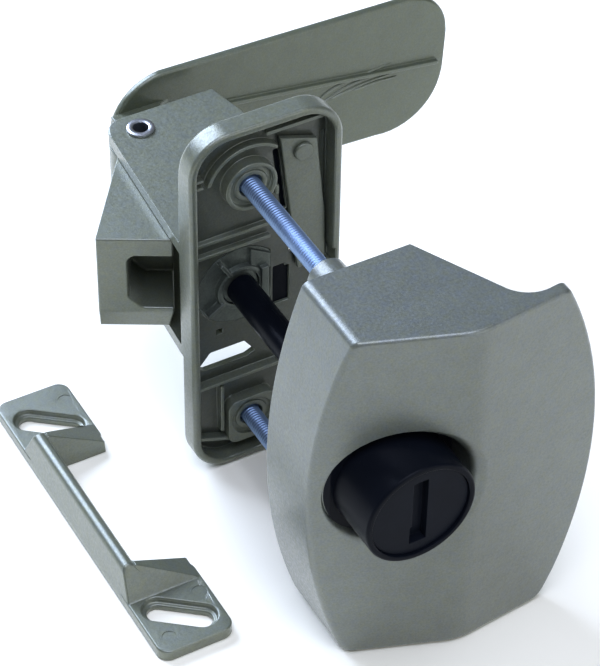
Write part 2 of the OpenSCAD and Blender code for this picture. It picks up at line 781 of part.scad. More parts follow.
// Front outline of the handle, set in by g
module handle_front(g) {
    intersection() {
        translate([left_arc_x, handle_h / 2]) circle(left_arc_r - g, $fn = 200);
        translate([lip_arc_x, handle_h / 2]) circle(lip_arc_r - g, $fn = 200);
        translate([left_x - 20, g]) square([handle_w + 50, handle_h - 2 * g]);
    }
}

module handle_solid(g) {
    intersection() {
        linear_extrude(handle_h) handle_plan(g);
        along_y(crease_y - 5, back_y + 2) handle_front(g);
    }
}

module outside_handle() {
    wall = handle_wall;
    place() color([0.5, 0.52, 0.53]) difference() {
        union() {
            difference() {
                handle_solid(0);
                handle_solid(wall);
            }
            // Guide tube for the button and bosses for the screws
            intersection() {
                bar_y(button_x, button_z, chamber_r + wall, crease_y, back_y);
                handle_solid(0);
            }
            for (z = screw_zs) {
                intersection() {
                    bar_y(screw_x, z, boss_r + 1, crease_y, back_y);
                    handle_solid(0);
                }
                bar_y(screw_x, z, boss_r, back_y - eps, back_y + boss_l);
            }
        }
        bar_y(button_x, button_z, recess_d / 2, crease_y - 5, guide_front_y);
        bar_y(button_x, button_z, guide_r_button, crease_y - 5, back_y + 1);
        bar_y(button_x, button_z, chamber_r, flange_y - gap, back_y + 1);
        for (z = screw_zs) bar_y(screw_x, z, screw_r + small_fit, back_y - 10, back_y + boss_l + 1);
    }
}

// Plate that closes the button chamber behind the spring
module spring_retainer() {
    place() color([0.6, 0.62, 0.63]) difference() {
        bar_y(button_x, button_z, chamber_r, retainer_y, retainer_y + retainer_t);
        bar_y(button_x, button_z, plug_stem_r + 2 * gap, retainer_y - 1, back_y);
    }
}

// Push button, lock plug and rod

module push_button() {
    wall = button_r - plug_r - small_fit;
    place() color([0.09, 0.09, 0.1]) difference() {
        union() {
            bar_y(button_x, button_z, button_r, button_face_y, button_back_y);
            bar_y(button_x, button_z, flange_r, flange_y, button_back_y);
        }
        bar_y(button_x, button_z, button_r - wall, button_face_y - 1, button_face_y + plug_sink + plug_t + small_fit);
        bar_y(button_x, button_z, plug_stem_r + small_fit, button_face_y, button_back_y + 1);
    }
}

// Cross pin, made longer than the stem by more at each end
module cross_pin_bar(more) {
    translate([button_x, cross_pin_y, button_z - plug_stem_r - more])
        cylinder(r = cross_pin_r, h = 2 * (plug_stem_r + more));
}

module lock_plug() {
    plug_y = button_face_y + plug_sink;
    step_w = slot_w / 7;
    place() color([0.11, 0.11, 0.12]) difference() {
        union() {
            bar_y(button_x, button_z, plug_r, plug_y, plug_y + plug_t);
            bar_y(button_x, button_z, plug_stem_r, plug_y + plug_t - eps, plug_end_y);
            // Collar round the rod at the foot of the stem
            bar_y(button_x, button_z, collar_r, plug_end_y - eps, plug_end_y + collar_l);
        }
        // Turning slot with a step at its lower left
        along_y(plug_y - 1, plug_y + plug_t * 0.55) translate([button_x, button_z]) {
            square([slot_w, slot_l], center = true);
            translate([-slot_w / 2 - step_w, -slot_l / 2]) square([2 * step_w, slot_l * 0.28]);
        }
        bar_y(button_x, button_z, rod_r, rod_start_y, plug_end_y + plug_t);
        cross_pin_bar(1);
    }
}

module push_rod() {
    place() color([0.08, 0.08, 0.09]) difference() {
        bar_y(button_x, button_z, rod_r, rod_start_y, rod_end_y);
        cross_pin_bar(1);
    }
}

// Pin through the stem of the plug and the rod
module rod_cross_pin() {
    place() color([0.6, 0.62, 0.64]) cross_pin_bar(-0.2);
}

// Clip on the stem behind the button
module plug_clip() {
    place() color([0.6, 0.62, 0.64]) difference() {
        bar_y(button_x, button_z, plug_stem_r + 1.8, button_back_y + small_fit, button_back_y + 1);
        bar_y(button_x, button_z, plug_stem_r, button_back_y - 1, plug_end_y);
    }
}

// Plunger that carries the rod's stroke to the tail of the bolt
module plunger() {
    place() color([0.5, 0.52, 0.52]) {
        difference() {
            bar_y(button_x, axis_z, plunger_r, plunger_y, arm_y + eps);
            // Groove that the clip sits in
            difference() {
                bar_y(button_x, axis_z, plunger_r + 1, clip_y, clip_y + clip_t);
                bar_y(button_x, axis_z, clip_groove_r, clip_y - 1, clip_y + 2);
            }
        }
        translate([button_x - 3, arm_y, tail_z - post_r])
            cube([post_x - button_x + 3 + post_r, arm_t, 2 * post_r]);
        bar_y(post_x, tail_z, post_r, arm_y, post_tip_y - post_r);
        translate([post_x, post_tip_y - post_r, tail_z]) sphere(post_r, $fn = 48);
    }
}

// Ring behind the guide that keeps the plunger from dropping out of it
module plunger_clip() {
    place() color([0.6, 0.62, 0.64]) difference() {
        bar_y(button_x, axis_z, clip_r, clip_y, clip_y + clip_t);
        bar_y(button_x, axis_z, clip_groove_r, clip_y - 1, clip_y + 2);
    }
}

// Strike

// Cross-section of the lip, in X and Z
module lip_2d() {
    top_r = 1.7;
    lean = 0.5;
    polygon([[0, 0], [strike_lip_t + lean, 0], [strike_lip_t, strike_lip_h - top_r],
             [strike_lip_t - 2 * top_r, strike_lip_h - top_r], [0, strike_t - 1]]);
    translate([strike_lip_t - top_r, strike_lip_h - top_r]) circle(top_r);
}

// Profile along Y that gives the trough its sloping ends
module trough_2d() {
    end_y = foot_l - 6;
    far_y = strike_l - end_y;
    slope = 4.2;
    polygon([[end_y, 0], [end_y, strike_t], [end_y + slope, strike_lip_h], [far_y - slope, strike_lip_h],
             [far_y, strike_t], [far_y, 0]]);
}

// Open middle of the strike, into which the bolt reaches
module throat_2d() {
    lean = 2.2;
    polygon([[foot_l + 1.2, -1], [foot_l + 1.2, 0], [foot_l + 1.2 - lean, strike_lip_h + 1],
             [strike_l - foot_l - 1.2 + lean, strike_lip_h + 1], [strike_l - foot_l - 1.2, 0],
             [strike_l - foot_l - 1.2, -1]]);
}

// Solid from x0 to x1 with an outline drawn in Y and Z
module along_x(x0, x1) {
    translate([x0, 0, 0]) rotate([90, 0, 90]) linear_extrude(x1 - x0) children();
}

module strike() {
    foot_r = 3;
    slot_turn = 38;
    slot_recess = 1.4;
    foot_z = strike_t;
    place() color([0.45, 0.47, 0.43]) translate([strike_x, strike_near_y, 0]) difference() {
        union() {
            for (y = [0, strike_l - foot_l])
                linear_extrude(foot_z) translate([0, y]) round_rect(strike_w, foot_l, foot_r);
            // Lip with sloping ends
            intersection() {
                translate([0, strike_l, 0]) rotate([90, 0, 0]) linear_extrude(strike_l) lip_2d();
                along_x(-1, strike_w) trough_2d();
            }
            // Gusset at the inner end of each foot, falling away from the lip
            difference() {
                intersection() {
                    translate([0, strike_l, 0]) rotate([90, 0, 0]) linear_extrude(strike_l)
                        polygon([[1, 0], [strike_w - 0.4, 0], [strike_w - 0.4, strike_t],
                                 [strike_lip_t, strike_lip_h - 0.6], [1, strike_t]]);
                    along_x(0, strike_w) trough_2d();
                }
                along_x(-1, strike_w + 1) throat_2d();
            }
        }
        for (y = foot_mid_ys) translate([strike_w / 2, y - strike_near_y, 0]) {
            translate([0, 0, -1]) linear_extrude(strike_t + 2) slot_2d(strike_slot_l, strike_slot_w, -slot_turn);
            translate([0, 0, strike_t - slot_recess]) linear_extrude(strike_lip_h)
                slot_2d(strike_slot_l + 2.2, strike_slot_w + 2.2, -slot_turn);
        }
        // Clear the feet out of the throat
        translate([strike_lip_t + 1, 0, 0]) along_x(0, strike_w) throat_2d();
    }
}

inside_case();
pivot_pin();
rod_guide();
night_lock_rivet();
mounting_screws();
outside_handle();
spring_retainer();
button_spring();
return_spring();
strike();
latch_bolt();
inside_lever();
lever_bushes();
push_button();
lock_plug();
push_rod();
rod_cross_pin();
plug_clip();
plunger();
plunger_clip();
night_lock_lever();
night_lock_stem();
night_lock_knob();
knob_screw();
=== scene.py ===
"""Entry door latch in its painted, plated and moulded finishes, on a pale studio floor."""
import json
from math import asin, atan2, ceil, cos, pi, radians, sin, sqrt

import bmesh
import bpy
from bpy.props import FloatProperty, FloatVectorProperty, IntProperty, PointerProperty
from mathutils import Matrix, Vector
from mathutils.bvhtree import BVHTree
from mathutils.geometry import delaunay_2d_cdt

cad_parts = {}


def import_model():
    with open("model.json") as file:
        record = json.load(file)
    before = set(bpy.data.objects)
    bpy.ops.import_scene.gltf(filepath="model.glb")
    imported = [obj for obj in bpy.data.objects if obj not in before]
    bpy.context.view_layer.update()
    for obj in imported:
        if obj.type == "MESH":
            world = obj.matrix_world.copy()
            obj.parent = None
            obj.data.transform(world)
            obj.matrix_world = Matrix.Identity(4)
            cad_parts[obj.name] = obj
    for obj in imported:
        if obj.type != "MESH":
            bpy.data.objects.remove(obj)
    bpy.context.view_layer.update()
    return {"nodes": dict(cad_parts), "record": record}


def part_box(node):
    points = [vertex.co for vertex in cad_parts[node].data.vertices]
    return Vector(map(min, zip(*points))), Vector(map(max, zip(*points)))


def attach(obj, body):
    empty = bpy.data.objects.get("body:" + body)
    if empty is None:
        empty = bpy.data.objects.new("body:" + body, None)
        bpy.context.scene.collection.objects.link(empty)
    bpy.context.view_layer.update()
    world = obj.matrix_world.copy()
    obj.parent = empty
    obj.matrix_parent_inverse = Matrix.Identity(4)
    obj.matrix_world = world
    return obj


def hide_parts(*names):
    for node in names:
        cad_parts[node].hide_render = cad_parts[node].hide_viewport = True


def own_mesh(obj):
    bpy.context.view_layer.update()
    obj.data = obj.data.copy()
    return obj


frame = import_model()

bl_info = {
    "name": "Entry door latch",
    "version": (1, 0, 0),
    "blender": (4, 5, 0),
    "location": "3D View > Sidebar > Latch",
    "description": "Builds the painted castings, screws, springs and button of an entry door latch",
    "category": "Object",
}

# Bench coordinates are millimetres from the lower left corner of the inside case's rim:
# X along the door, Y from outdoors to the room, Z up.
MM = 0.001
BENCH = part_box("inside_case")[0]
BODY = {node: body for body, nodes in frame["record"]["behaviour"]["bodies"].items() for node in nodes}


def span(node):
    """Lowest and highest corner of a CAD node in bench millimetres."""
    low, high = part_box(node)
    return (low - BENCH) / MM, (high - BENCH) / MM


CASE = span("inside_case")
HANDLE = span("outside_handle")
BUTTON = span("push_button")
PLUG = span("lock_plug")
SCREWS = span("mounting_screws")
COIL = span("button_spring")
TORSION = span("return_spring")
PIVOT = span("pivot_pin")
BUTTON_X, BUTTON_Z = (BUTTON[0].x + BUTTON[1].x) / 2, (BUTTON[0].z + BUTTON[1].z) / 2
PIVOT_X, PIVOT_Y = (PIVOT[0].x + PIVOT[1].x) / 2, (PIVOT[0].y + PIVOT[1].y) / 2
SCREW_HEAD_R = 4.5
SCREW_X = (SCREWS[0].x + SCREWS[1].x) / 2
SCREW_ZS = (SCREWS[0].z + SCREW_HEAD_R, SCREWS[1].z - SCREW_HEAD_R)


# Properties

def length(name, description, mm, low=0.0, high=0.2):
    return FloatProperty(name=name, description=description, default=mm * MM, min=low, max=high,
                         unit="LENGTH", subtype="DISTANCE", precision=5)


def tint(name, description, colour):
    return FloatVectorProperty(name=name, description=description, default=colour, size=3,
                               min=0.0, max=1.0, subtype="COLOR")


def share(name, description, value):
    return FloatProperty(name=name, description=description, default=value, min=0.0, max=1.0, subtype="FACTOR")


def watts(name, description, value):
    return FloatProperty(name=name, description=description, default=value, min=0.0, unit="POWER")


class LatchSizes(bpy.types.PropertyGroup):
    """Sizes of the roundings, the thread and the coils"""
    cast_edge: length("Cast edge", "Rounding of the edges of the castings", 0.45)
    rim_edge: length("Rim edge", "Rounding of the outer edges of the inside case", 1.1)
    paddle_edge: length("Paddle edge", "Rounding round the rim of the paddle", 0.8)
    turned_edge: length("Turned edge", "Rounding of turned and stamped pieces", 0.18)
    handle_top_edge: length("Handle top edge", "Rounding between the handle's front and top", 0.95)
    handle_side_edge: length("Handle side edge", "Rounding along the handle's curved left edge", 1.3)
    handle_lip_edge: length("Handle lip edge", "Rounding along the front of the handle's lip", 0.9)
    handle_foot_edge: length("Handle foot edge", "Rounding along the handle's bottom edge", 1.8)
    handle_crease: length("Handle crease", "Half width of the soft crease down the handle's front", 3.2)
    recess_soft: length("Recess rim", "How far the soft mouth of the button's recess is wider than its well", 2.1)
    thread_pitch: length("Thread pitch", "Pitch of the screw thread", 0.75)
    thread_depth: length("Thread depth", "Depth of the screw thread", 0.15)
    spring_wire: length("Button spring wire", "Diameter of the button spring's wire", 1.1)
    torsion_wire: length("Return spring wire", "Diameter of the return spring's wire", 0.9)
    spring_turns: IntProperty(name="Button spring turns", description="Turns of the button spring", default=3,
                              min=1, max=8)


class LatchFinishes(bpy.types.PropertyGroup):
    """Colours and gloss of the finishes"""
    bronze: tint("Bronze paint", "Base colour of the bronze-grey metallic paint", (0.128, 0.143, 0.104))
    handle_bronze: tint("Handle paint", "Base colour of the paint on the outside handle", (0.129, 0.144, 0.122))
    lever_bronze: tint("Lever paint", "Base colour of the paint on the paddle lever", (0.094, 0.108, 0.070))
    # This black is also the colour of the painted shade on the well floor and on the black sheets
    black: tint("Black plastic", "Base colour of the button and the rod", (0.0032, 0.0042, 0.0068))
    lacquer: share("Lacquer", "Strength of the clear coat over the paint", 0.55)
    speck: share("Specks", "How far the fine specks in the paint lean to lavender and olive", 0.30)
    # Painted shade: the floor of the tray is painted darker than the rest of the case, by this share
    tray: share("Tray shade", "How light the painted shade in the floor of the tray is beside the rest", 0.46)
    zinc: tint("Zinc", "Base colour of the bluish zinc plating", (0.23, 0.33, 0.51))
    die_cast: tint("Die casting", "Base colour of the bare die casting", (0.115, 0.130, 0.110))
    steel: tint("Bright steel", "Base colour of bright steel", (0.52, 0.54, 0.56))
    nylon: tint("Nylon", "Base colour of the natural nylon", (0.58, 0.56, 0.47))
    paint_metal: share("Paint metal", "How metallic the paint looks", 0.38)
    paint_rough: share("Paint roughness", "Roughness of the paint", 0.38)
    flake: share("Flake", "Strength of the fine flake in the paint", 0.13)


class LatchStudio(bpy.types.PropertyGroup):
    """Floor, light and camera"""
    floor_tint: tint("Floor", "Colour of the plain floor", (0.95, 0.92, 0.78))
    sky_tint: tint("Sky", "Colour of the soft light from all round", (0.92, 0.95, 1.0))
    sky: FloatProperty(name="Sky strength", description="Strength of the soft light from all round", default=0.14,
                       min=0.0)
    key: watts("Key light", "Power of the large light overhead", 8.6)
    back: watts("Back light", "Power of the light behind the latch", 15.5)
    fill: watts("Fill light", "Power of the light in front", 2.2)
    lens: length("Focal length", "Focal length of the camera on a long side of 36 mm", 151.351, 0.001, 1.0)


def sizes():
    return bpy.context.scene.latch_sizes


def mm(name):
    """A length of the sizes group in millimetres."""
    return getattr(sizes(), name) / MM


# Meshes

def mesh_from(name, bm):
    """Moves a bmesh into a new mesh and frees it."""
    mesh = bpy.data.meshes.new(name)
    bm.to_mesh(mesh)
    bm.free()
    return mesh


def linked(name, data):
    """A new object of that data, in the scene."""
    made = bpy.data.objects.new(name, data)
    bpy.context.scene.collection.objects.link(made)
    return made


def discard(thing):
    """Removes an object and its mesh."""
    mesh = thing.data
    bpy.data.objects.remove(thing)
    bpy.data.meshes.remove(mesh)


def result_of(work):
    """What the modifiers of an object make, as a bmesh. The object is removed."""
    done = bpy.data.meshes.new_from_object(work.evaluated_get(bpy.context.evaluated_depsgraph_get()))
    bm = bmesh.new()
    bm.from_mesh(done)
    discard(work)
    bpy.data.meshes.remove(done)
    return bm


def placed(node, name, bm, look, soft_angle=32.0, weighted=True):
    """Turns bench millimetres, kept inside the box of a CAD node, into the piece that replaces the node. The piece
    rides on the node's body and takes its slot."""
    low, high = span(node)
    for v in bm.verts:
        for k in range(3):
            v.co[k] = min(max(v.co[k], low[k]), high[k])
        v.co = BENCH + v.co * MM
    piece = linked(name, mesh_from(name, bm))
    mesh = piece.data
    mesh.materials.append(finish(look))
    for p in mesh.polygons:
        p.use_smooth = True
        p.material_index = 0
    mesh.set_sharp_from_angle(angle=radians(soft_angle))
    if weighted:
        even = piece.modifiers.new("Even shading", "WEIGHTED_NORMAL")
        even.weight, even.keep_sharp = 80, True
    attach(piece, BODY[node])
    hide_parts(node)
    return piece


def merged_copy(node):
    """A merged copy of a CAD node in bench millimetres, with its flat faces made whole."""
    near, flat = 0.002, radians(0.4)
    bm = bmesh.new()
    bm.from_mesh(frame["nodes"][node].data)
    for v in bm.verts:
        v.co = (v.co - BENCH) / MM
    bmesh.ops.remove_doubles(bm, verts=bm.verts, dist=near)
    bmesh.ops.dissolve_degenerate(bm, edges=bm.edges, dist=near)
    bmesh.ops.dissolve_limit(bm, angle_limit=flat, verts=bm.verts, edges=bm.edges)
    return bm


def evaluated(bm, kind, **settings):
    """Runs one modifier over a bench mesh."""
    work = linked("work", mesh_from("work", bm))
    m = work.modifiers.new(kind, kind)
    for key, value in settings.items():
        setattr(m, key, value)
    return result_of(work)


def combined(bm, other, operation):
    """Boolean of two bench meshes: INTERSECT, UNION or DIFFERENCE."""
    tool = linked("tool", mesh_from("tool", other))
    out = evaluated(bm, "BOOLEAN", object=tool, operation=operation, solver="EXACT")
    discard(tool)
    if not out.faces:
        raise RuntimeError("a boolean left nothing")
    return out


def appended(bm, other):
    """Adds the other bench mesh to the first."""
    mesh = mesh_from("part", other)
    bm.from_mesh(mesh)
    bpy.data.meshes.remove(mesh)
    return bm


def rounded(bm, width_of, segments=3, angle=24.0):
    """Rounds each edge sharper than angle by the width that width_of(middle, edge) gives, in millimetres."""
    flush, runs_on, room, one = radians(2), -0.93, 0.42, 1.0001  # one is a hair more than 1, so nothing divides by 0
    layer = bm.edges.layers.float.get("bevel_weight_edge") or bm.edges.layers.float.new("bevel_weight_edge")
    found = {e: w for e in bm.edges if len(e.link_faces) == 2 and e.calc_face_angle(0.0) > radians(angle) and
             (w := width_of((e.verts[0].co + e.verts[1].co) / 2, e)) > 0}
    if not found:
        return bm
    # An edge that meets a rounded one at a turn holds its width down, the more so the sharper the corner is
    for e in found:
        for v in e.verts:
            along = (e.other_vert(v).co - v.co).normalized()
            for f in v.link_edges:
                if f is e or (f not in found and f.calc_face_angle(0.0) < flush):
                    continue
                turn = along.dot((f.other_vert(v).co - v.co).normalized())
                if turn > runs_on:
                    found[e] = min(found[e], room * f.calc_length() * sqrt((one - turn) / (one + turn)))
    widest = max(found.values())
    for e in bm.edges:
        e[layer] = found.get(e, 0.0) / widest
    return evaluated(bm, "BEVEL", limit_method="WEIGHT", width=widest, segments=segments, use_clamp_overlap=False,
                     offset_type="OFFSET", miter_outer="MITER_ARC", loop_slide=False)


def filled(bm, outline, normal):
    """Triangles between the closed outlines of one flat region, by the even and odd crossings of their edges."""
    across = normal.orthogonal().normalized()
    upward = normal.cross(across)
    corners = list(dict.fromkeys(v for e in outline for v in e.verts))
    place = {v: k for k, v in enumerate(corners)}
    flat = [Vector((v.co.dot(across), v.co.dot(upward))) for v in corners]
    walls = [(place[e.verts[0]], place[e.verts[1]]) for e in outline]
    points, _, faces, origins, _, _ = delaunay_2d_cdt(flat, walls, [], 0, 1e-5, True)
    lift = normal * corners[0].co.dot(normal)
    used = [corners[o[0]] if o else bm.verts.new(across * q.x + upward * q.y + lift)
            for q, o in zip(points, origins)]
    walls = [(flat[a], flat[b]) for a, b in walls]
    made = []
    for face in faces:
        c = sum((points[k] for k in face), Vector((0, 0))) / len(face)
        # Walls met to the right, to the left, above and below
        hits = [0, 0, 0, 0]
        for a, b in walls:
            for i, j in ((0, 1), (1, 0)):
                if (a[j] > c[j]) != (b[j] > c[j]):
                    meets = a[i] + (c[j] - a[j]) * (b[i] - a[i]) / (b[j] - a[j])
                    hits[2 * i + (0 if meets > c[i] else 1)] += 1
        corner_set = [used[k] for k in face]
        if sum(h % 2 for h in hits) > 2 and len(set(corner_set)) == len(face) and not bm.faces.get(corner_set):
            f = bm.faces.new(corner_set)
            f.normal_update()
            if f.normal.dot(normal) < 0:
                f.normal_flip()
            made.append(f)
    return made


def refilled(bm, least=0.5, near=0.004):
    """Fills each flat region anew between its outlines, holes kept open, so that no long face folds over itself."""
    seen = set()
    for start in sorted(bm.faces, key=lambda f: -f.calc_area()):
        if not start.is_valid or start in seen or start.calc_area() < least:
            continue
        normal, spot = start.normal.copy(), start.verts[0].co.copy()
        region, todo = {start: True}, [start]
        while todo:
            for e in todo.pop().edges:
                for f in e.link_faces:
                    fresh = f not in region and f not in seen
                    if fresh and all(abs((v.co - spot).dot(normal)) < near for v in f.verts):
                        region[f] = True
                        todo.append(f)
        if len(region) == 1 and len(start.verts) < 5:
            seen.add(start)
            continue
        uses = {}
        for f in region:
            for e in f.edges:
                uses[e] = uses.get(e, 0) + 1
        bmesh.ops.delete(bm, geom=list(region), context="FACES_ONLY")
        inner = [e for e, times in uses.items() if times > 1 and not e.link_faces]
        bmesh.ops.delete(bm, geom=inner, context="EDGES")
        seen.update(filled(bm, [e for e, times in uses.items() if e.is_valid and times == 1], normal))
    return bm


def dimpled(bm, start, way, radius, depth):
    """Presses a shallow round mark into the face that a ray from start along way meets."""
    draft, above = 0.12, 0.4
    spot, normal, _, _ = BVHTree.FromBMesh(bm).ray_cast(Vector(start), Vector(way))
    if spot is None:
        raise RuntimeError("a mark misses its piece")
    tool = bmesh.new()
    bmesh.ops.create_cone(tool, cap_ends=True, segments=28, radius1=radius - draft, radius2=radius, depth=depth + above)
    turn = normal.to_track_quat("Z", "Y").to_matrix().to_4x4()
    tool.transform(Matrix.Translation(spot + normal * (above - depth) / 2) @ turn)
    return combined(bm, tool, "DIFFERENCE")


def ridged(bm, points, face_y, width, height):
    """Adds a low rounded ridge along points in X and Z on a face that looks towards -Y."""
    sunk, arch = 0.12, [radians(a) for a in range(0, 181, 30)]
    pts = [Vector((x, face_y, z)) for x, z in points]
    for _ in range(2):
        cut = [p for a, b in zip(pts, pts[1:]) for p in (a.lerp(b, 0.25), a.lerp(b, 0.75))]
        pts = [pts[0]] + cut + [pts[-1]]
    ridge, rows = bmesh.new(), []
    for k, p in enumerate(pts):
        ahead = (pts[min(k + 1, len(pts) - 1)] - pts[max(k - 1, 0)]).normalized()
        aside = ahead.cross(Vector((0, 1, 0)))
        taper = sin(pi * min(1.0, (k + 0.02) / (len(pts) - 1))) ** 0.6
        rows.append([ridge.verts.new(p + aside * (width * taper * cos(a)) +
                                     Vector((0, sunk - (height * taper + sunk) * sin(a), 0))) for a in arch])
    return appended(bm, skinned(ridge, rows, (rows[0], rows[-1])))


def shaved(bm, spot, normal):
    """Cuts away what lies beyond a plane and closes the cut."""
    cut = bmesh.ops.bisect_plane(bm, geom=bm.verts[:] + bm.edges[:] + bm.faces[:], plane_co=spot, plane_no=normal,
                                 clear_outer=True, dist=0.0005)
    rim = [e for e in cut["geom_cut"] if isinstance(e, bmesh.types.BMEdge) and len(e.link_faces) == 1]
    filled(bm, rim, normal.normalized())
    return bm


def skinned(bm, rings, caps=()):
    """Faces between rings of vertices that follow each other, then the caps. A ring of one vertex is a pole."""
    for a, b in zip(rings, rings[1:]):
        n = max(len(a), len(b))
        for k in range(n):
            j = (k + 1) % n
            if len(a) == 1:
                bm.faces.new((a[0], b[k], b[j]))
            elif len(b) == 1:
                bm.faces.new((a[k], a[j], b[0]))
            else:
                bm.faces.new((a[k], a[j], b[j], b[k]))
    for cap in caps:
        bm.faces.new(cap)
    bmesh.ops.recalc_face_normals(bm, faces=bm.faces)
    return bm


def prism(points, axis, start, end):
    """Closed prism of a polygon. Points are (x, z) along Y, or (x, y) along Z."""
    bm = bmesh.new()
    rings = [[bm.verts.new((a, t, b) if axis == "Y" else (a, b, t)) for a, b in points] for t in (start, end)]
    bm.faces.new(rings[0])
    bm.faces.new(rings[1])
    return skinned(bm, rings)


def turned(profile, x, z, steps=64):
    """Solid turned round the Y axis through (x, z). The profile of (radius, y) runs from pole to pole or, where both
    ends are off the axis, closes on itself."""
    bm = bmesh.new()
    rings = [[bm.verts.new((x + r * cos(2 * pi * k / steps), y, z + r * sin(2 * pi * k / steps)))
              for k in range(steps if r else 1)] for r, y in profile]
    if profile[0][0]:
        rings.append(rings[0])
    return skinned(bm, rings)


def arc(cx, cy, r, a0, a1, steps):
    """Points of an arc, angles in degrees."""
    return [(cx + r * cos(radians(a0 + (a1 - a0) * k / steps)), cy + r * sin(radians(a0 + (a1 - a0) * k / steps)))
            for k in range(steps + 1)]


def fillet(points, radii, steps=6):
    """Rounds the corners of an open or closed polygon. radii gives one radius for each point, 0 for none."""
    out = []
    n = len(points)
    for k, (p, r) in enumerate(zip(points, radii)):
        if r <= 0:
            out.append(tuple(p))
            continue
        p, a, b = Vector(p), Vector(points[(k - 1) % n]), Vector(points[(k + 1) % n])
        u, v = (a - p).normalized(), (b - p).normalized()
        half = u.angle(v) / 2
        cut = min(r / max(1e-6, sin(half) / cos(half)), (a - p).length * 0.95, (b - p).length * 0.95)
        for j in range(steps + 1):
            t = j / steps
            q0, q1 = p + u * cut, p + v * cut
            out.append(tuple((1 - t) ** 2 * q0 + 2 * t * (1 - t) * p + t ** 2 * q1))
    return out


# Nodes

class Wiring:
    """Short hands for the nodes of a tree."""

    def __init__(self, tree):
        self.tree = tree

    def __call__(self, operation, *values):
        """The outcome of a Math node."""
        node = self.tree.nodes.new("ShaderNodeMath")
        node.operation = operation
        for slot, value in zip(node.inputs, values):
            self.feed(slot, value)
        return node.outputs[0]

    def feed(self, slot, value):
        """Joins a socket to an input, or sets the input."""
        if isinstance(value, bpy.types.NodeSocket):
            self.tree.links.new(value, slot)
        else:
            slot.default_value = value

    def node(self, kind, settings=None, **values):
        """A node with its inputs fed by name, where an underscore stands for a space."""
        node = self.tree.nodes.new(kind)
        for key, value in (settings or {}).items():
            setattr(node, key, value)
        for key, value in values.items():
            self.feed(node.inputs[key.replace("_", " ")], value)
        return node

    def close(self, geometry, given, out):
        """Realizes the instances, sets the finish and ends the tree."""
        real = self.node("GeometryNodeRealizeInstances", Geometry=geometry)
        painted = self.node("GeometryNodeSetMaterial", Geometry=real.outputs[0], Material=given["Finish"])
        self.tree.links.new(painted.outputs[0], out.inputs[0])
        return self.tree


# Finishes

# Scales of the noise in the finishes, per metre
FLAKE, SPECK, MOTTLE, GLOSS, PEEL = 2300.0, 620.0, 160.0, 1500.0, 900.0
COAT_ROUGH = 0.27


def shader(name, colour, metallic, roughness, flake=0.0, peel=0.0, mottle=0.0, specular=0.5, speck=0.0, coat=0.0):
    """One finish: a base colour with fine flake and mottling, and a bump of orange peel or cast grain."""
    mat = bpy.data.materials.get(name) or bpy.data.materials.new(name)
    mat.use_nodes = True
    mat.diffuse_color = (*colour, 1)
    tree = mat.node_tree
    tree.nodes.clear()
    w = Wiring(tree)
    place = tree.nodes.new("ShaderNodeTexCoord").outputs["Object"]
    body = w.node("ShaderNodeBsdfPrincipled", Base_Color=(*colour, 1), Metallic=metallic, Roughness=roughness,
                  Specular_IOR_Level=specular, Coat_Weight=coat, Coat_Roughness=COAT_ROUGH)
    w.node("ShaderNodeOutputMaterial", Surface=body.outputs["BSDF"])

    def noise(scale, detail, low, high):
        cloud = w.node("ShaderNodeTexNoise", Scale=scale, Detail=detail, Roughness=0.62, Vector=place)
        return w.node("ShaderNodeMapRange", From_Min=0.3, From_Max=0.7, To_Min=low, To_Max=high,
                      Value=cloud.outputs["Fac"]).outputs["Result"]

    if flake or mottle:
        grain = w("MULTIPLY", noise(FLAKE, 3.0, 1 - flake, 1 + flake), noise(MOTTLE, 2.0, 1 - mottle, 1 + mottle))
        shown = w.node("ShaderNodeVectorMath", {"operation": "SCALE"}, Vector=colour, Scale=grain).outputs[0]
        if speck:
            # Specks that lean to lavender and to olive, as flake in the paint does
            ramp = w.node("ShaderNodeMix", {"data_type": "RGBA"}, Factor=noise(SPECK, 2.0, 0.0, 1.0),
                          A=(1 - 0.12 * speck, 1 - 0.04 * speck, 1 + 0.36 * speck, 1),
                          B=(1 + 0.12 * speck, 1 + 0.05 * speck, 1 - 0.34 * speck, 1))
            shown = w.node("ShaderNodeMix", {"data_type": "RGBA", "blend_type": "MULTIPLY"}, Factor=1.0, A=shown,
                           B=ramp.outputs["Result"]).outputs["Result"]
        tree.links.new(shown, body.inputs["Base Color"])
    if flake:
        tree.links.new(noise(GLOSS, 2.0, max(0.05, roughness - 0.10), roughness + 0.10), body.inputs["Roughness"])
    if peel:
        bump = w.node("ShaderNodeBump", Strength=1.0, Distance=peel * MM, Height=noise(PEEL, 3.0, 0.0, 1.0))
        tree.links.new(bump.outputs["Normal"], body.inputs["Normal"])
    return mat


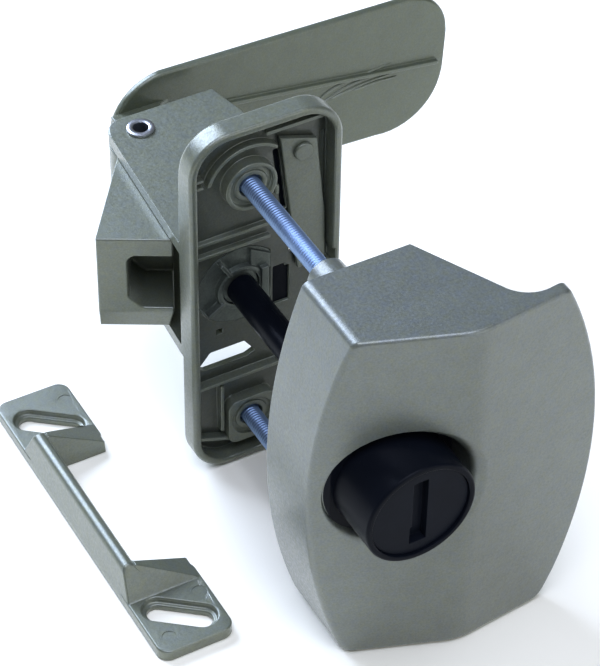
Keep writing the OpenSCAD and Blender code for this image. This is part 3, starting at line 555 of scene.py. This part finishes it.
def finish(name):
    """The finish of that name, made on first use."""
    found = bpy.data.materials.get(name)
    if found:
        return found
    f = bpy.context.scene.latch_finishes
    paint = {"metallic": f.paint_metal, "roughness": f.paint_rough, "flake": f.flake, "peel": 0.022, "mottle": 0.05,
             "speck": f.speck, "coat": f.lacquer}
    plastic = {"metallic": 0.0, "peel": 0.006, "mottle": 0.1}
    colour, look = {
        "bronze_paint": (f.bronze, paint),
        "handle_paint": (f.handle_bronze, paint),
        "lever_paint": (f.lever_bronze, paint),
        # Painted shade: a darker copy of the bronze paint for the shaded floor of the tray
        "painted_tray_shade": ([c * f.tray for c in f.bronze], paint),
        # black_plastic_and_shade is the black plastic of the button and the rod, and also painted shade on the well
        # floor and on the black sheets
        "black_plastic_and_shade": (f.black, {"roughness": 0.30, "specular": 0.05, **plastic}),
        "black_disc": ([c * 1.4 for c in f.black], {"roughness": 0.42, "specular": 0.06, **plastic}),
        "blue_zinc": (f.zinc, {"metallic": 0.92, "roughness": 0.48, "mottle": 0.08}),
        "bare_die_cast": (f.die_cast, {"metallic": 0.75, "roughness": 0.42, "flake": 0.16, "peel": 0.02,
                                       "mottle": 0.1}),
        "bright_steel": (f.steel, {"metallic": 1.0, "roughness": 0.28, "mottle": 0.05}),
        "natural_nylon": (f.nylon, {"metallic": 0.0, "roughness": 0.5, "mottle": 0.04}),
    }[name]
    return shader(name, colour, **look)


def marked(piece, name, test):
    """Gives the faces that test(middle, normal) picks another finish."""
    mesh = piece.data
    mesh.materials.append(finish(name))
    for p in mesh.polygons:
        if test((p.center - BENCH) / MM, p.normal):
            p.material_index = len(mesh.materials) - 1


# Outside handle

class HandleShape:
    """The rules that the handle's plan and front outline follow, in bench millimetres."""
    left, top, back, crease_x = 3.8, 94.0, -43.0, 27.8
    crease_y, left_fall, right_fall, width = -73.4, 8.8, 2.4, 47.2
    bulge, lip_bulge, lip, pull_r, pull_x, grip_x = 8.3, 11.0, 2.9, 8.0, 46.5, 29.0
    recess_r, mouth, well_depth = 15.5, (15.6, 50.5), 5.15
    corners = (3.6, 2.4, 2.6, 4.6)  # radii at foot left, top left, top right and foot right
    skin = 0.03

    def __init__(self):
        self.left_slope = self.left_fall / (self.crease_x - self.left)
        self.right_slope = self.right_fall / (self.left + self.width - self.crease_x)
        self.soft = mm("handle_crease")
        self.turns = [self.crease_x + self.soft * t / 4 for t in range(-4, 5)]
        self.arc_r = (self.top ** 2 / 4 + self.bulge ** 2) / (2 * self.bulge)
        self.lip_arc_r = (self.top ** 2 / 4 + self.lip_bulge ** 2) / (2 * self.lip_bulge)
        self.arc_x = self.left - self.bulge + self.arc_r
        self.lip_arc_x = self.left + self.width + self.lip_bulge - self.lip_arc_r

    def front(self, x):
        """Y of the front face at x, with the crease softened by a parabola."""
        d = x - self.crease_x
        s, a, b = self.soft, -self.left_slope, self.right_slope
        if d < -s:
            y = self.crease_y + a * d
        elif d > s:
            y = self.crease_y + b * d
        else:
            y = self.crease_y + (b * (d + s) ** 2 - a * (d - s) ** 2) / (4 * s)
        return y + self.skin

    def plan(self):
        """Plan of the handle in X and Y, 3 mm longer than the handle at both ends."""
        x0, x1 = self.left - self.bulge - 3, self.left + self.width + self.lip_bulge + 3
        pull_y = self.crease_y + self.right_slope * (self.pull_x - self.crease_x) + self.lip + self.pull_r
        dx, dy = self.pull_x - self.grip_x, self.back - pull_y
        aim = atan2(-dy, dx) - asin(self.pull_r / sqrt(dx * dx + dy * dy))
        pts = [(x, self.front(x)) for x in [x0] + self.turns + [x1]]
        pts += [(x1, self.front(x1) + self.lip - self.skin)]
        pts += arc(self.pull_x, pull_y, self.pull_r, 270, 270 + aim * 180 / pi, 14)
        pts += [(self.grip_x, self.back - self.skin), (x0, self.back - self.skin)]
        return pts

    def outline(self):
        """Front outline of the handle in X and Z, one skin inside it, with rounded corners."""
        steps, inset, half = 24, self.skin, self.top / 2
        up = [inset + (self.top - 2 * inset) * k / steps for k in range(steps + 1)]
        down = [self.top - inset - (self.top - 2 * inset) * k / steps for k in range(steps + 1)]
        pts = [(self.arc_x - sqrt((self.arc_r - inset) ** 2 - (z - half) ** 2), z) for z in up]
        pts += [(self.lip_arc_x + sqrt((self.lip_arc_r - inset) ** 2 - (z - half) ** 2), z) for z in down]
        radii = [0.0] * len(pts)
        radii[0], radii[steps], radii[steps + 1], radii[-1] = self.corners
        pts = fillet(pts, radii)
        # The top and the bottom edge also turn with the crease
        out = []
        for k, p in enumerate(pts):
            q = pts[(k + 1) % len(pts)]
            out.append(p)
            if abs(q[0] - p[0]) > 20:
                between = [(x, p[1] + (q[1] - p[1]) * (x - p[0]) / (q[0] - p[0])) for x in self.turns]
                out += between if q[0] > p[0] else between[::-1]
        return out


def recess_tool(shape, radius, mouth, mouth_r, depth):
    """Cutter for the recess: a round well whose wider, lower mouth runs softly into the creased front face."""
    bm = bmesh.new()
    steps, flare, rings = 128, 7, []
    ways = [Vector((cos(2 * pi * k / steps), sin(2 * pi * k / steps))) for k in range(steps)]
    foot = [Vector((BUTTON_X, BUTTON_Z)) + radius * way for way in ways]
    rim = [Vector(mouth) + mouth_r * way for way in ways]
    drops = [min(2.4, 0.95 * (b - a).length) for a, b in zip(foot, rim)]

    def ring(part, down):
        across = [a + (b - a) * part for a, b in zip(foot, rim)]
        rings.append([bm.verts.new((q.x, shape.front(q.x) + drop * down, q.y)) for q, drop in zip(across, drops)])

    # The first ring stands outside the front face, so that the cut runs clear of it
    ring(1.35, -2.0)
    for k in range(flare + 1):
        t = radians(5 + 85 * k / flare)
        ring(1 - sin(t), 1 - cos(t))
    rings.append([bm.verts.new((q.x, depth, q.y)) for q in foot])
    rings.insert(0, [bm.verts.new((v.co.x, shape.crease_y - 8, v.co.z)) for v in rings[0]])
    return skinned(bm, rings, (rings[-1], rings[0]))


def outline_tool(shape, width_at, back_edge, front_y):
    """Solid with the handle's front outline, its front edge rounded along the creased face and its back edge too."""
    pts = [Vector(p) for p in shape.outline()]
    inward = []
    for k in range(len(pts)):
        t = (pts[(k + 1) % len(pts)] - pts[k - 1]).normalized()
        inward.append(Vector((t.y, -t.x)))
    bm = bmesh.new()
    steps, last = 6, radians(87)

    def ring(inset, place):
        made = []
        for k, (p, way) in enumerate(zip(pts, inward)):
            q = p + way * inset(k)
            made.append(bm.verts.new((q.x, place(k, q.x), q.y)))
        return made

    widths = [width_at(p.x, p.y) for p in pts]
    rings = [ring(lambda k: widths[k] * (1 - cos(last)), lambda k, x: front_y)]
    for j in range(steps, -1, -1):
        t = last * j / steps
        rings.append(ring(lambda k: widths[k] * (1 - cos(t)), lambda k, x: shape.front(x) + widths[k] * (1 - sin(t))))
    for j in range(4):
        t = radians(30 * j)
        rings.append(ring(lambda k: back_edge * (1 - cos(t)),
                          lambda k, x: shape.back - shape.skin - back_edge * (1 - sin(t))))
    return skinned(bm, rings, (rings[0], rings[-1]))


def build_outside_handle():
    shape = HandleShape()
    low, high = HANDLE
    side, topmost, foot, lip = (mm("handle_%s_edge" % part) for part in ("side", "top", "foot", "lip"))

    def width_at(x, z):
        plain = side if x < 20 else lip
        low_down, high_up = max(0.0, 1 - z / 9), max(0.0, 1 - (shape.top - z) / 4)
        return plain + (foot - plain) * low_down + (topmost - plain) * high_up

    body = prism(shape.plan(), "Z", -2.0, high.z + 2)
    bm = combined(body, outline_tool(shape, width_at, mm("cast_edge"), low.y - 4), "INTERSECT")
    bmesh.ops.remove_doubles(bm, verts=bm.verts, dist=0.03)
    well_y = shape.front(BUTTON_X) + shape.well_depth
    recess = recess_tool(shape, shape.recess_r + 0.05, shape.mouth, shape.recess_r + mm("recess_soft"), well_y)
    bm = combined(bm, recess, "DIFFERENCE")
    # Screw bosses: a foot inside the handle and a shank with a soft end
    foot_r, shank_r, boss_x, end_y = 5.6, 4.57, 16.0, high.y - 0.02
    boss = [(0, shape.back - 6), (foot_r, shape.back - 6), (foot_r, shape.back - 0.4), (shank_r, shape.back),
            (shank_r, high.y - 0.6), (4.2, high.y - 0.15), (3.9, end_y), (0, end_y)]
    for z in SCREW_ZS:
        bm = combined(bm, turned(boss, boss_x, z), "UNION")
    bm = combined(bm, merged_copy("outside_handle"), "INTERSECT")
    bmesh.ops.remove_doubles(bm, verts=bm.verts, dist=0.01)
    bmesh.ops.dissolve_limit(bm, angle_limit=radians(0.2), verts=bm.verts, edges=bm.edges)
    piece = placed("outside_handle", "outside_handle_shell", bm, "handle_paint", 34)
    # Painted shade: the floor of the well behind the button is black, for the shadow in the gap round the button
    marked(piece, "black_plastic_and_shade", lambda c, n: abs(n.y) > 0.9 and abs(c.y - well_y) < 0.3 and
           Vector((c.x - BUTTON_X, c.z - BUTTON_Z)).length < shape.recess_r + 0.6)


# Castings

def build_casting(node, name, paint, width_of, segments=3, angle=24.0, before=None, after=None):
    """Rounds the merged copy of a CAD node. before and after change the mesh ahead of the rounding and behind it."""
    bm = merged_copy(node)
    if before:
        bm = before(bm)
    bm = refilled(rounded(bm, width_of, segments, angle))
    if after:
        bm = after(bm)
    return placed(node, name, bm, paint)


def build_plain(segments, *rows):
    """Rounds each node by one width. A row is (node, name, finish, width)."""
    for node, name, paint, width in rows:
        build_casting(node, name, paint, lambda p, e: width, segments)


def build_inside_case():
    edge, rim, corner_r = mm("cast_edge"), mm("rim_edge"), 10
    depth, floor_y, shade_sheet_y = 5.8, 4.2, 4.93
    night_x, night_z, tilt = 29.2, 86.1, radians(7)
    slot = [(night_x + x * cos(tilt) - z * sin(tilt), night_z + x * sin(tilt) + z * cos(tilt))
            for x, z in ((-6.38, -15.98), (-5.02, -15.98), (-5.02, 1.98), (-6.38, 1.98))]
    window = [(22.82, 41.72), (26.98, 41.72), (26.98, 52.38), (25.78, 52.38), (25.78, 53.18), (22.82, 53.18)]

    def shade_sheets(bm):
        """Black felts close the slot beside the night lock and the window beside the guide."""
        for shape in (slot, window):
            bm = appended(bm, prism(shape, "Y", shade_sheet_y, depth - 0.2))
        return bm

    def width_of(p, e):
        side, end = min(p.x, CASE[1].x - p.x), min(p.z, CASE[1].z - p.z)
        in_corner = max(side, end) < corner_r and Vector((corner_r - side, corner_r - end)).length > corner_r - 0.1
        in_rim = min(side, end) < 0.05 or in_corner
        if p.y < 0.1:
            return 0.8 if in_rim else 0.55
        if in_rim and abs(p.y - depth) < 0.1:
            return rim
        return edge if p.y > depth + 0.3 else 0.22

    piece = build_casting("inside_case", "inside_case_casting", "bronze_paint", width_of, after=shade_sheets)
    # Painted shade: the floor of the tray takes the darker copy of the bronze paint
    marked(piece, "painted_tray_shade", lambda c, n: n.y < -0.9 and abs(c.y - floor_y) < 0.1)
    # Painted shade: the fronts of the black sheets in the slot and the window are black
    marked(piece, "black_plastic_and_shade", lambda c, n: n.y < -0.9 and abs(c.y - shade_sheet_y) < 0.01)


def build_latch_bolt():
    """The foot of the bolt's broad faces is drawn in, above a soft line."""
    edge, sill, draw_in, hub_r = mm("cast_edge"), 5.4, 1.1, 7.75
    low = span("latch_bolt")[0]

    def before(bm):
        broad = [(f.calc_center_median(), f.normal.copy()) for f in bm.faces
                 if f.calc_area() > 150 and abs(f.normal.z) < 0.05 and f.normal.y < 0.3]
        for spot, normal in broad:
            foot = Vector((spot.x, spot.y, low.z + sill))
            bm = shaved(bm, foot, normal * sill - Vector((0, 0, draw_in)))
        return bm

    build_casting("latch_bolt", "latch_bolt_casting", "bronze_paint",
                  lambda p, e: 0.25 if Vector((p.x - PIVOT_X, p.y - PIVOT_Y)).length < hub_r else edge * 1.2,
                  angle=9.0, before=before, after=lambda bm: dimpled(bm, (-40, 30, 56), (1, 0, 0), 1.4, 0.12))


def build_inside_lever():
    """The paddle carries a bundle of fine curved ridges beside its long rib."""
    rim, edge = mm("paddle_edge"), mm("cast_edge")
    front = span("inside_lever")[1].y - 2.2
    bundle = (((62.0, 47.0), (67.0, 51.2), (76.0, 52.3), (85.0, 53.2)),
              ((64.0, 47.0), (72.0, 50.6), (80.0, 51.0), (86.5, 51.4)),
              ((67.7, 48.0), (76.0, 49.6), (87.0, 50.0)),
              ((74.0, 48.4), (80.0, 48.9), (87.0, 48.4)))

    def after(bm):
        for way in bundle:
            bm = ridged(bm, way, front, 0.42, 0.38)
        return bm

    build_casting("inside_lever", "inside_lever_casting", "lever_paint",
                  lambda p, e: rim if p.y > front - 0.3 and any(abs(f.normal.y) > 0.9 for f in e.link_faces) and
                  abs(p.z - BUTTON_Z) > 5 else edge * 0.6, after=after)


def build_night_lock():
    build_plain(3, ("night_lock_lever", "night_lock_strip", "bronze_paint", 0.25),
                ("night_lock_stem", "night_lock_pin", "bronze_paint", 0.25),
                ("night_lock_knob", "night_lock_thumb_knob", "bronze_paint", 0.25),
                ("night_lock_rivet", "night_lock_rivet_head", "bronze_paint", 0.3))


def build_strike():
    edge = mm("cast_edge")

    def after(bm):
        for x, y in ((-17.1, 35.2), (-17.0, -35.0), (-29.0, -43.9)):
            bm = dimpled(bm, (x, y, 30), (0, 0, -1), 1.9, 0.14)
        return bm

    build_casting("strike", "strike_casting", "bronze_paint", lambda p, e: edge * 0.7 if p.z < 0.1 else edge,
                  angle=18.0, after=after)


# Button group

def build_button_group():
    """The cap is turned: a soft front rim, a shallow step down to the disc, a flange at its back."""
    low, high = BUTTON
    cap_r, flange_r, stem_r = 13.2, (high.x - low.x) / 2 - 0.01, 5.05
    pocket_r, pocket_y = (PLUG[1].x - PLUG[0].x) / 2 + 0.05, PLUG[0].y + 4.05
    front_y, flange_y, back_y = low.y + 0.02, high.y - 1.8, high.y - 0.01
    soft, lip, quarter = 0.62, 0.3, [radians(15 * j) for j in range(7)]
    profile = [(stem_r, pocket_y), (pocket_r, pocket_y), (pocket_r, front_y + lip)]
    profile += [(pocket_r + lip * (1 - cos(t)), front_y + lip * (1 - sin(t))) for t in quarter]
    profile += [(cap_r - soft * (1 - sin(t)), front_y + soft * (1 - cos(t))) for t in quarter]
    profile += [(cap_r - 0.01, flange_y - 0.4), (cap_r + 0.12, flange_y - 0.12), (cap_r + 0.4, flange_y),
                (flange_r - 0.14, flange_y), (flange_r, flange_y + 0.15), (flange_r, back_y - 0.14),
                (flange_r - 0.14, back_y), (stem_r, back_y)]
    cap = turned(profile, BUTTON_X, BUTTON_Z, 112)
    placed("push_button", "push_button_cap", cap, "black_plastic_and_shade", 50, False)
    build_casting("lock_plug", "lock_plug_disc", "black_disc", lambda p, e: 0.18 if p.y < PLUG[0].y + 0.2 else 0.1, 2)
    build_plain(3, ("push_rod", "push_rod_bar", "black_plastic_and_shade", 0.35))


# Screws, with their thread wound by Geometry Nodes

def node_group(name, inputs):
    """A new Geometry Nodes tree with named inputs: (name, kind, default)."""
    tree = bpy.data.node_groups.new(name, "GeometryNodeTree")
    tree.interface.new_socket("Geometry", in_out="OUTPUT", socket_type="NodeSocketGeometry")
    for label, kind, default in inputs:
        socket = tree.interface.new_socket(label, in_out="INPUT", socket_type=kind)
        if default is not None:
            socket.default_value = default
    return tree, tree.nodes.new("NodeGroupInput"), tree.nodes.new("NodeGroupOutput")


def thread_tree():
    """Grid rolled into a rod whose radius follows a helix, set along Y at each screw's place."""
    tree, given, out = node_group("Wound thread", [
        ("Radius", "NodeSocketFloat", 2.4), ("Depth", "NodeSocketFloat", 0.3), ("Pitch", "NodeSocketFloat", 1.1),
        ("Length", "NodeSocketFloat", 50.0), ("Rings", "NodeSocketInt", 300), ("Sides", "NodeSocketInt", 25),
        ("Count", "NodeSocketInt", 2), ("First", "NodeSocketVector", (0, 0, 0)),
        ("Step", "NodeSocketVector", (0, 0, 70)), ("Finish", "NodeSocketMaterial", None)])
    w, g = Wiring(tree), given.outputs
    grid = w.node("GeometryNodeMeshGrid", Vertices_X=g["Rings"], Vertices_Y=g["Sides"])
    place = tree.nodes.new("GeometryNodeInputPosition")
    apart = w.node("ShaderNodeSeparateXYZ", Vector=place.outputs[0])
    along, round_ = w("ADD", apart.outputs["X"], 0.5), w("ADD", apart.outputs["Y"], 0.5)
    distance = w("MULTIPLY", along, g["Length"])
    phase = w("FRACT", w("ADD", w("SUBTRACT", w("DIVIDE", distance, g["Pitch"]), round_), 1.0))
    # The flanks rise and fall evenly, with a narrow flat at crest and root
    flank = w("ABSOLUTE", w("SUBTRACT", w("MULTIPLY", phase, 2.0), 1.0))
    flank = w("MINIMUM", w("MAXIMUM", w("SUBTRACT", w("MULTIPLY", flank, 1.3), 0.15), 0.0), 1.0)
    radius = w("SUBTRACT", g["Radius"], w("MULTIPLY", flank, g["Depth"]))
    # The first and the last ring fall on the axis and close the rod
    inside = w("MULTIPLY", w("GREATER_THAN", along, 0.0005), w("LESS_THAN", along, 0.9995))
    radius = w("MULTIPLY", radius, inside)
    angle = w("MULTIPLY", round_, 2 * pi)
    joined = w.node("ShaderNodeCombineXYZ", X=w("MULTIPLY", radius, w("COSINE", angle)), Y=distance,
                    Z=w("MULTIPLY", radius, w("SINE", angle)))
    rolled = w.node("GeometryNodeSetPosition", Geometry=grid.outputs["Mesh"], Position=joined.outputs[0])
    closed = w.node("GeometryNodeMergeByDistance", Geometry=rolled.outputs[0], Distance=0.002)
    row = w.node("GeometryNodeMeshLine", Count=g["Count"], Start_Location=g["First"], Offset=g["Step"])
    copies = w.node("GeometryNodeInstanceOnPoints", Points=row.outputs[0], Instance=closed.outputs[0])
    return w.close(copies.outputs[0], g, out)


def coil_tree():
    """Wire wound in a helix round Z, with a straight leg at each end."""
    tree, given, out = node_group("Wound coil", [
        ("Radius", "NodeSocketFloat", 5.0), ("Wire", "NodeSocketFloat", 1.0), ("First angle", "NodeSocketFloat", 0.0),
        ("Turned", "NodeSocketFloat", 6.28), ("Rise", "NodeSocketFloat", 3.0), ("Leg", "NodeSocketFloat", 0.0),
        ("Points", "NodeSocketInt", 120), ("Finish", "NodeSocketMaterial", None)])
    w, g = Wiring(tree), given.outputs
    line = w.node("GeometryNodeCurvePrimitiveLine")
    points = w.node("GeometryNodeResampleCurve", Curve=line.outputs[0], Count=g["Points"])
    factor, leg_part = tree.nodes.new("GeometryNodeSplineParameter").outputs["Factor"], 0.12
    wound = w("MINIMUM", w("MAXIMUM", w("DIVIDE", w("SUBTRACT", factor, leg_part), 1 - 2 * leg_part), 0.0), 1.0)
    angle = w("ADD", g["First angle"], w("MULTIPLY", wound, g["Turned"]))
    after = w("MAXIMUM", w("SUBTRACT", factor, 1 - leg_part), 0.0)
    before = w("MAXIMUM", w("SUBTRACT", leg_part, factor), 0.0)
    off = w("MULTIPLY", w("DIVIDE", w("SUBTRACT", after, before), leg_part), g["Leg"])
    x = w("SUBTRACT", w("MULTIPLY", g["Radius"], w("COSINE", angle)), w("MULTIPLY", off, w("SINE", angle)))
    y = w("ADD", w("MULTIPLY", g["Radius"], w("SINE", angle)), w("MULTIPLY", off, w("COSINE", angle)))
    joined = w.node("ShaderNodeCombineXYZ", X=x, Y=y, Z=w("MULTIPLY", wound, g["Rise"]))
    bent = w.node("GeometryNodeSetPosition", Geometry=points.outputs[0], Position=joined.outputs[0])
    ring = w.node("GeometryNodeCurvePrimitiveCircle", Resolution=14, Radius=w("MULTIPLY", g["Wire"], 0.5))
    swept = w.node("GeometryNodeCurveToMesh", Curve=bent.outputs[0], Profile_Curve=ring.outputs[0], Fill_Caps=True)
    return w.close(swept.outputs[0], g, out)


def grown(tree, **values):
    """The mesh that a tree gives with these inputs, as a bench mesh."""
    holder = linked("holder", bpy.data.meshes.new("holder"))
    m = holder.modifiers.new("Grow", "NODES")
    m.node_group = tree
    found = {item.name: item.identifier for item in tree.interface.items_tree if item.in_out == "INPUT"}
    for label, value in values.items():
        m[found[label.replace("_", " ")]] = value
    bm = result_of(holder)
    bmesh.ops.remove_doubles(bm, verts=bm.verts, dist=0.002)
    bmesh.ops.recalc_face_normals(bm, faces=bm.faces)
    return bm


def build_mounting_screws():
    """Threads by Geometry Nodes, with turned heads that have a cross recess."""
    low, high = SCREWS
    head_r, head_h, first_y = SCREW_HEAD_R, 2.2, low.y + 0.02
    seat = high.y - head_h
    bm = grown(thread_tree(), Radius=2.38, Depth=mm("thread_depth"), Pitch=mm("thread_pitch"),
               Length=seat + 0.3 - first_y, Rings=8 * ceil((seat - low.y) / mm("thread_pitch")), Sides=25, Count=2,
               First=(SCREW_X, first_y, SCREW_ZS[0]), Step=(0.0, 0.0, SCREW_ZS[1] - SCREW_ZS[0]),
               Finish=finish("blue_zinc"))
    dome = [(head_r * cos(radians(a)), seat + 1.0 + 1.18 * sin(radians(a))) for a in range(0, 90, 15)]
    profile = [(0, seat), (head_r - 0.1, seat), (head_r, seat + 0.15)] + dome + [(0, seat + 2.19)]
    for z in SCREW_ZS:
        head = turned(profile, SCREW_X, z, 40)
        for w, h in ((0.5, 2.6), (2.6, 0.5)):
            slot = [(SCREW_X - w, z - h), (SCREW_X + w, z - h), (SCREW_X + w, z + h), (SCREW_X - w, z + h)]
            head = combined(head, prism(slot, "Y", high.y - 1.2, high.y + 1), "DIFFERENCE")
        bm = appended(bm, head)
    placed("mounting_screws", "mounting_screws_threaded", bm, "blue_zinc", 40, False)


def build_springs():
    """Both coils grow round Z. The button spring is then laid along Y, its angle kept."""
    tree, steel, turns = coil_tree(), finish("bright_steel"), sizes().spring_turns
    wire = mm("spring_wire")
    bm = grown(tree, Radius=(COIL[1].x - COIL[0].x - wire) / 2, Wire=wire, First_angle=0.0, Turned=2 * pi * turns,
               Rise=COIL[1].y - COIL[0].y - wire, Leg=0.0, Points=56 * turns, Finish=steel)
    laid = Matrix(((1, 0, 0), (0, 0, 1), (0, 1, 0)))
    for v in bm.verts:
        v.co = laid @ v.co + Vector((BUTTON_X, COIL[0].y + wire / 2, BUTTON_Z))
    bmesh.ops.recalc_face_normals(bm, faces=bm.faces)
    coil = placed("button_spring", "button_spring_coil", bm, "bright_steel", 60, False)
    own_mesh(coil)
    wire = mm("torsion_wire")
    bm = grown(tree, Radius=5.6, Wire=wire, First_angle=pi / 2, Turned=5 * pi, Rise=TORSION[1].z - TORSION[0].z - wire,
               Leg=4.6, Points=200, Finish=steel)
    for v in bm.verts:
        v.co += Vector((PIVOT_X, PIVOT_Y, TORSION[0].z + wire / 2))
    placed("return_spring", "return_spring_coil", bm, "bright_steel", 60, False)


# Small turned, stamped and moulded pieces

def build_small_parts():
    edge = mm("turned_edge")
    build_plain(2, ("pivot_pin", "pivot_pin_rivet", "bright_steel", 0.3),
                ("rod_guide", "rod_guide_casting", "bare_die_cast", 0.2),
                ("plunger", "plunger_casting", "bare_die_cast", 0.3),
                ("lever_bushes", "lever_bush_washers", "natural_nylon", edge),
                ("spring_retainer", "spring_retainer_plate", "blue_zinc", edge),
                ("plug_clip", "plug_clip_ring", "bright_steel", edge),
                ("plunger_clip", "plunger_clip_ring", "bright_steel", edge),
                ("rod_cross_pin", "rod_cross_pin_bar", "bright_steel", edge),
                ("knob_screw", "knob_screw_end", "bright_steel", 0.1))


# Stage

def build_stage():
    studio = bpy.context.scene.latch_studio
    bm = bmesh.new()
    bmesh.ops.create_grid(bm, x_segments=1, y_segments=1, size=3.0)
    floor = linked("studio_floor", mesh_from("studio_floor", bm))
    floor.location = (0, 0, BENCH.z - 0.0001)
    floor.data.materials.append(shader("plain_floor", studio.floor_tint, 0.0, 0.8))
    world = bpy.data.worlds.new("studio")
    world.use_nodes = True
    sky = world.node_tree.nodes["Background"]
    sky.inputs["Color"].default_value = (*studio.sky_tint, 1)
    sky.inputs["Strength"].default_value = studio.sky
    bpy.context.scene.world = world
    # Lights, their places in bench millimetres and their sizes in metres
    middle = BENCH + Vector((34, -9, 45)) * MM
    for name, place, size, power, colour in (
            ("key_light", (-60, -260, 900), 0.7, studio.key, (0.74, 0.79, 1.0)),
            ("back_light", (-175, 650, 520), 0.6, studio.back, (0.64, 0.74, 1.0)),
            ("fill_light", (260, -760, 320), 0.6, studio.fill, (0.86, 0.90, 1.0))):
        lamp = bpy.data.lights.new(name, "AREA")
        lamp.size, lamp.energy, lamp.color = size, power, colour
        light = linked(name, lamp)
        light.location = BENCH + Vector(place) * MM
        light.rotation_euler = (middle - light.location).to_track_quat("-Z", "Y").to_euler()
    # Camera at the photograph's angle: heading, tilt and roll in radians, offsets in millimetres
    heading, tilt, roll, aside, below, away = 0.5144, 0.7469, 0.0152, -24.688, -33.908, 660.66
    ahead = Vector((sin(heading), cos(heading), 0))
    right = Vector((cos(heading), -sin(heading), 0))
    look = cos(tilt) * ahead - sin(tilt) * Vector((0, 0, 1))
    up = sin(tilt) * ahead + cos(tilt) * Vector((0, 0, 1))
    r, u = cos(roll) * right + sin(roll) * up, -sin(roll) * right + cos(roll) * up
    eye = BENCH + (-aside * r - below * u - away * look) * MM
    camera = linked("camera", bpy.data.cameras.new("camera"))
    camera.matrix_world = Matrix.Translation(eye) @ Matrix((r, u, -look)).transposed().to_4x4()
    camera.data.lens = studio.lens / MM
    camera.data.sensor_width = 36
    camera.data.clip_start, camera.data.clip_end = 0.01, 20
    bpy.context.scene.camera = camera
    bpy.context.scene.view_settings.view_transform = "Standard"


# Operators and panel

def operator(idname, label, text, build):
    """An operator class that runs one build function."""
    def execute(self, context):
        build()
        return {"FINISHED"}
    return type("LATCH_OT_" + idname, (bpy.types.Operator,),
                {"__doc__": text, "bl_idname": "latch." + idname, "bl_label": label, "execute": execute})


OPERATORS = [operator(*row) for row in (
    ("outside_handle", "Outside handle", "Builds the creased pull handle with its recess and screw bosses",
     build_outside_handle),
    ("inside_case", "Inside case", "Rounds the tray casting with its ribs, bosses and ears", build_inside_case),
    ("latch_bolt", "Latch bolt", "Rounds the swinging bolt with its mouth", build_latch_bolt),
    ("inside_lever", "Inside lever", "Rounds the paddle lever", build_inside_lever),
    ("night_lock", "Night lock", "Builds the night lock strip, its stem, rivet and thumb knob", build_night_lock),
    ("strike", "Strike", "Rounds the strike that lies beside the latch", build_strike),
    ("button_group", "Button and rod", "Builds the push button, its slotted disc and the push rod", build_button_group),
    ("mounting_screws", "Mounting screws", "Winds the thread of the two long screws", build_mounting_screws),
    ("springs", "Springs", "Winds the button spring and the return spring", build_springs),
    ("small_parts", "Small parts", "Finishes pins, washers, clips, guide and plunger", build_small_parts),
    ("stage", "Stage", "Sets up the floor, the soft light and the camera", build_stage),
)]


class LATCH_PT_sidebar(bpy.types.Panel):
    """Lists the pieces of the latch"""
    bl_label = "Entry door latch"
    bl_idname = "LATCH_PT_sidebar"
    bl_space_type = "VIEW_3D"
    bl_region_type = "UI"
    bl_category = "Latch"

    def draw(self, context):
        for cls in OPERATORS:
            self.layout.operator(cls.bl_idname)
        for group in ("latch_sizes", "latch_finishes", "latch_studio"):
            box = self.layout.box()
            data = getattr(context.scene, group)
            for prop in data.bl_rna.properties:
                if prop.identifier not in ("name", "rna_type"):
                    box.prop(data, prop.identifier)


GROUPS = (("latch_sizes", LatchSizes), ("latch_finishes", LatchFinishes), ("latch_studio", LatchStudio))
CLASSES = [group for _, group in GROUPS] + OPERATORS + [LATCH_PT_sidebar]


def register():
    for cls in CLASSES:
        bpy.utils.register_class(cls)
    for name, group in GROUPS:
        setattr(bpy.types.Scene, name, PointerProperty(type=group))


def unregister():
    for name, _ in GROUPS:
        delattr(bpy.types.Scene, name)
    for cls in reversed(CLASSES):
        bpy.utils.unregister_class(cls)


def main():
    register()
    for cls in OPERATORS:
        getattr(bpy.ops.latch, cls.bl_idname.split(".")[1])()


if __name__ == "__main__":
    main()
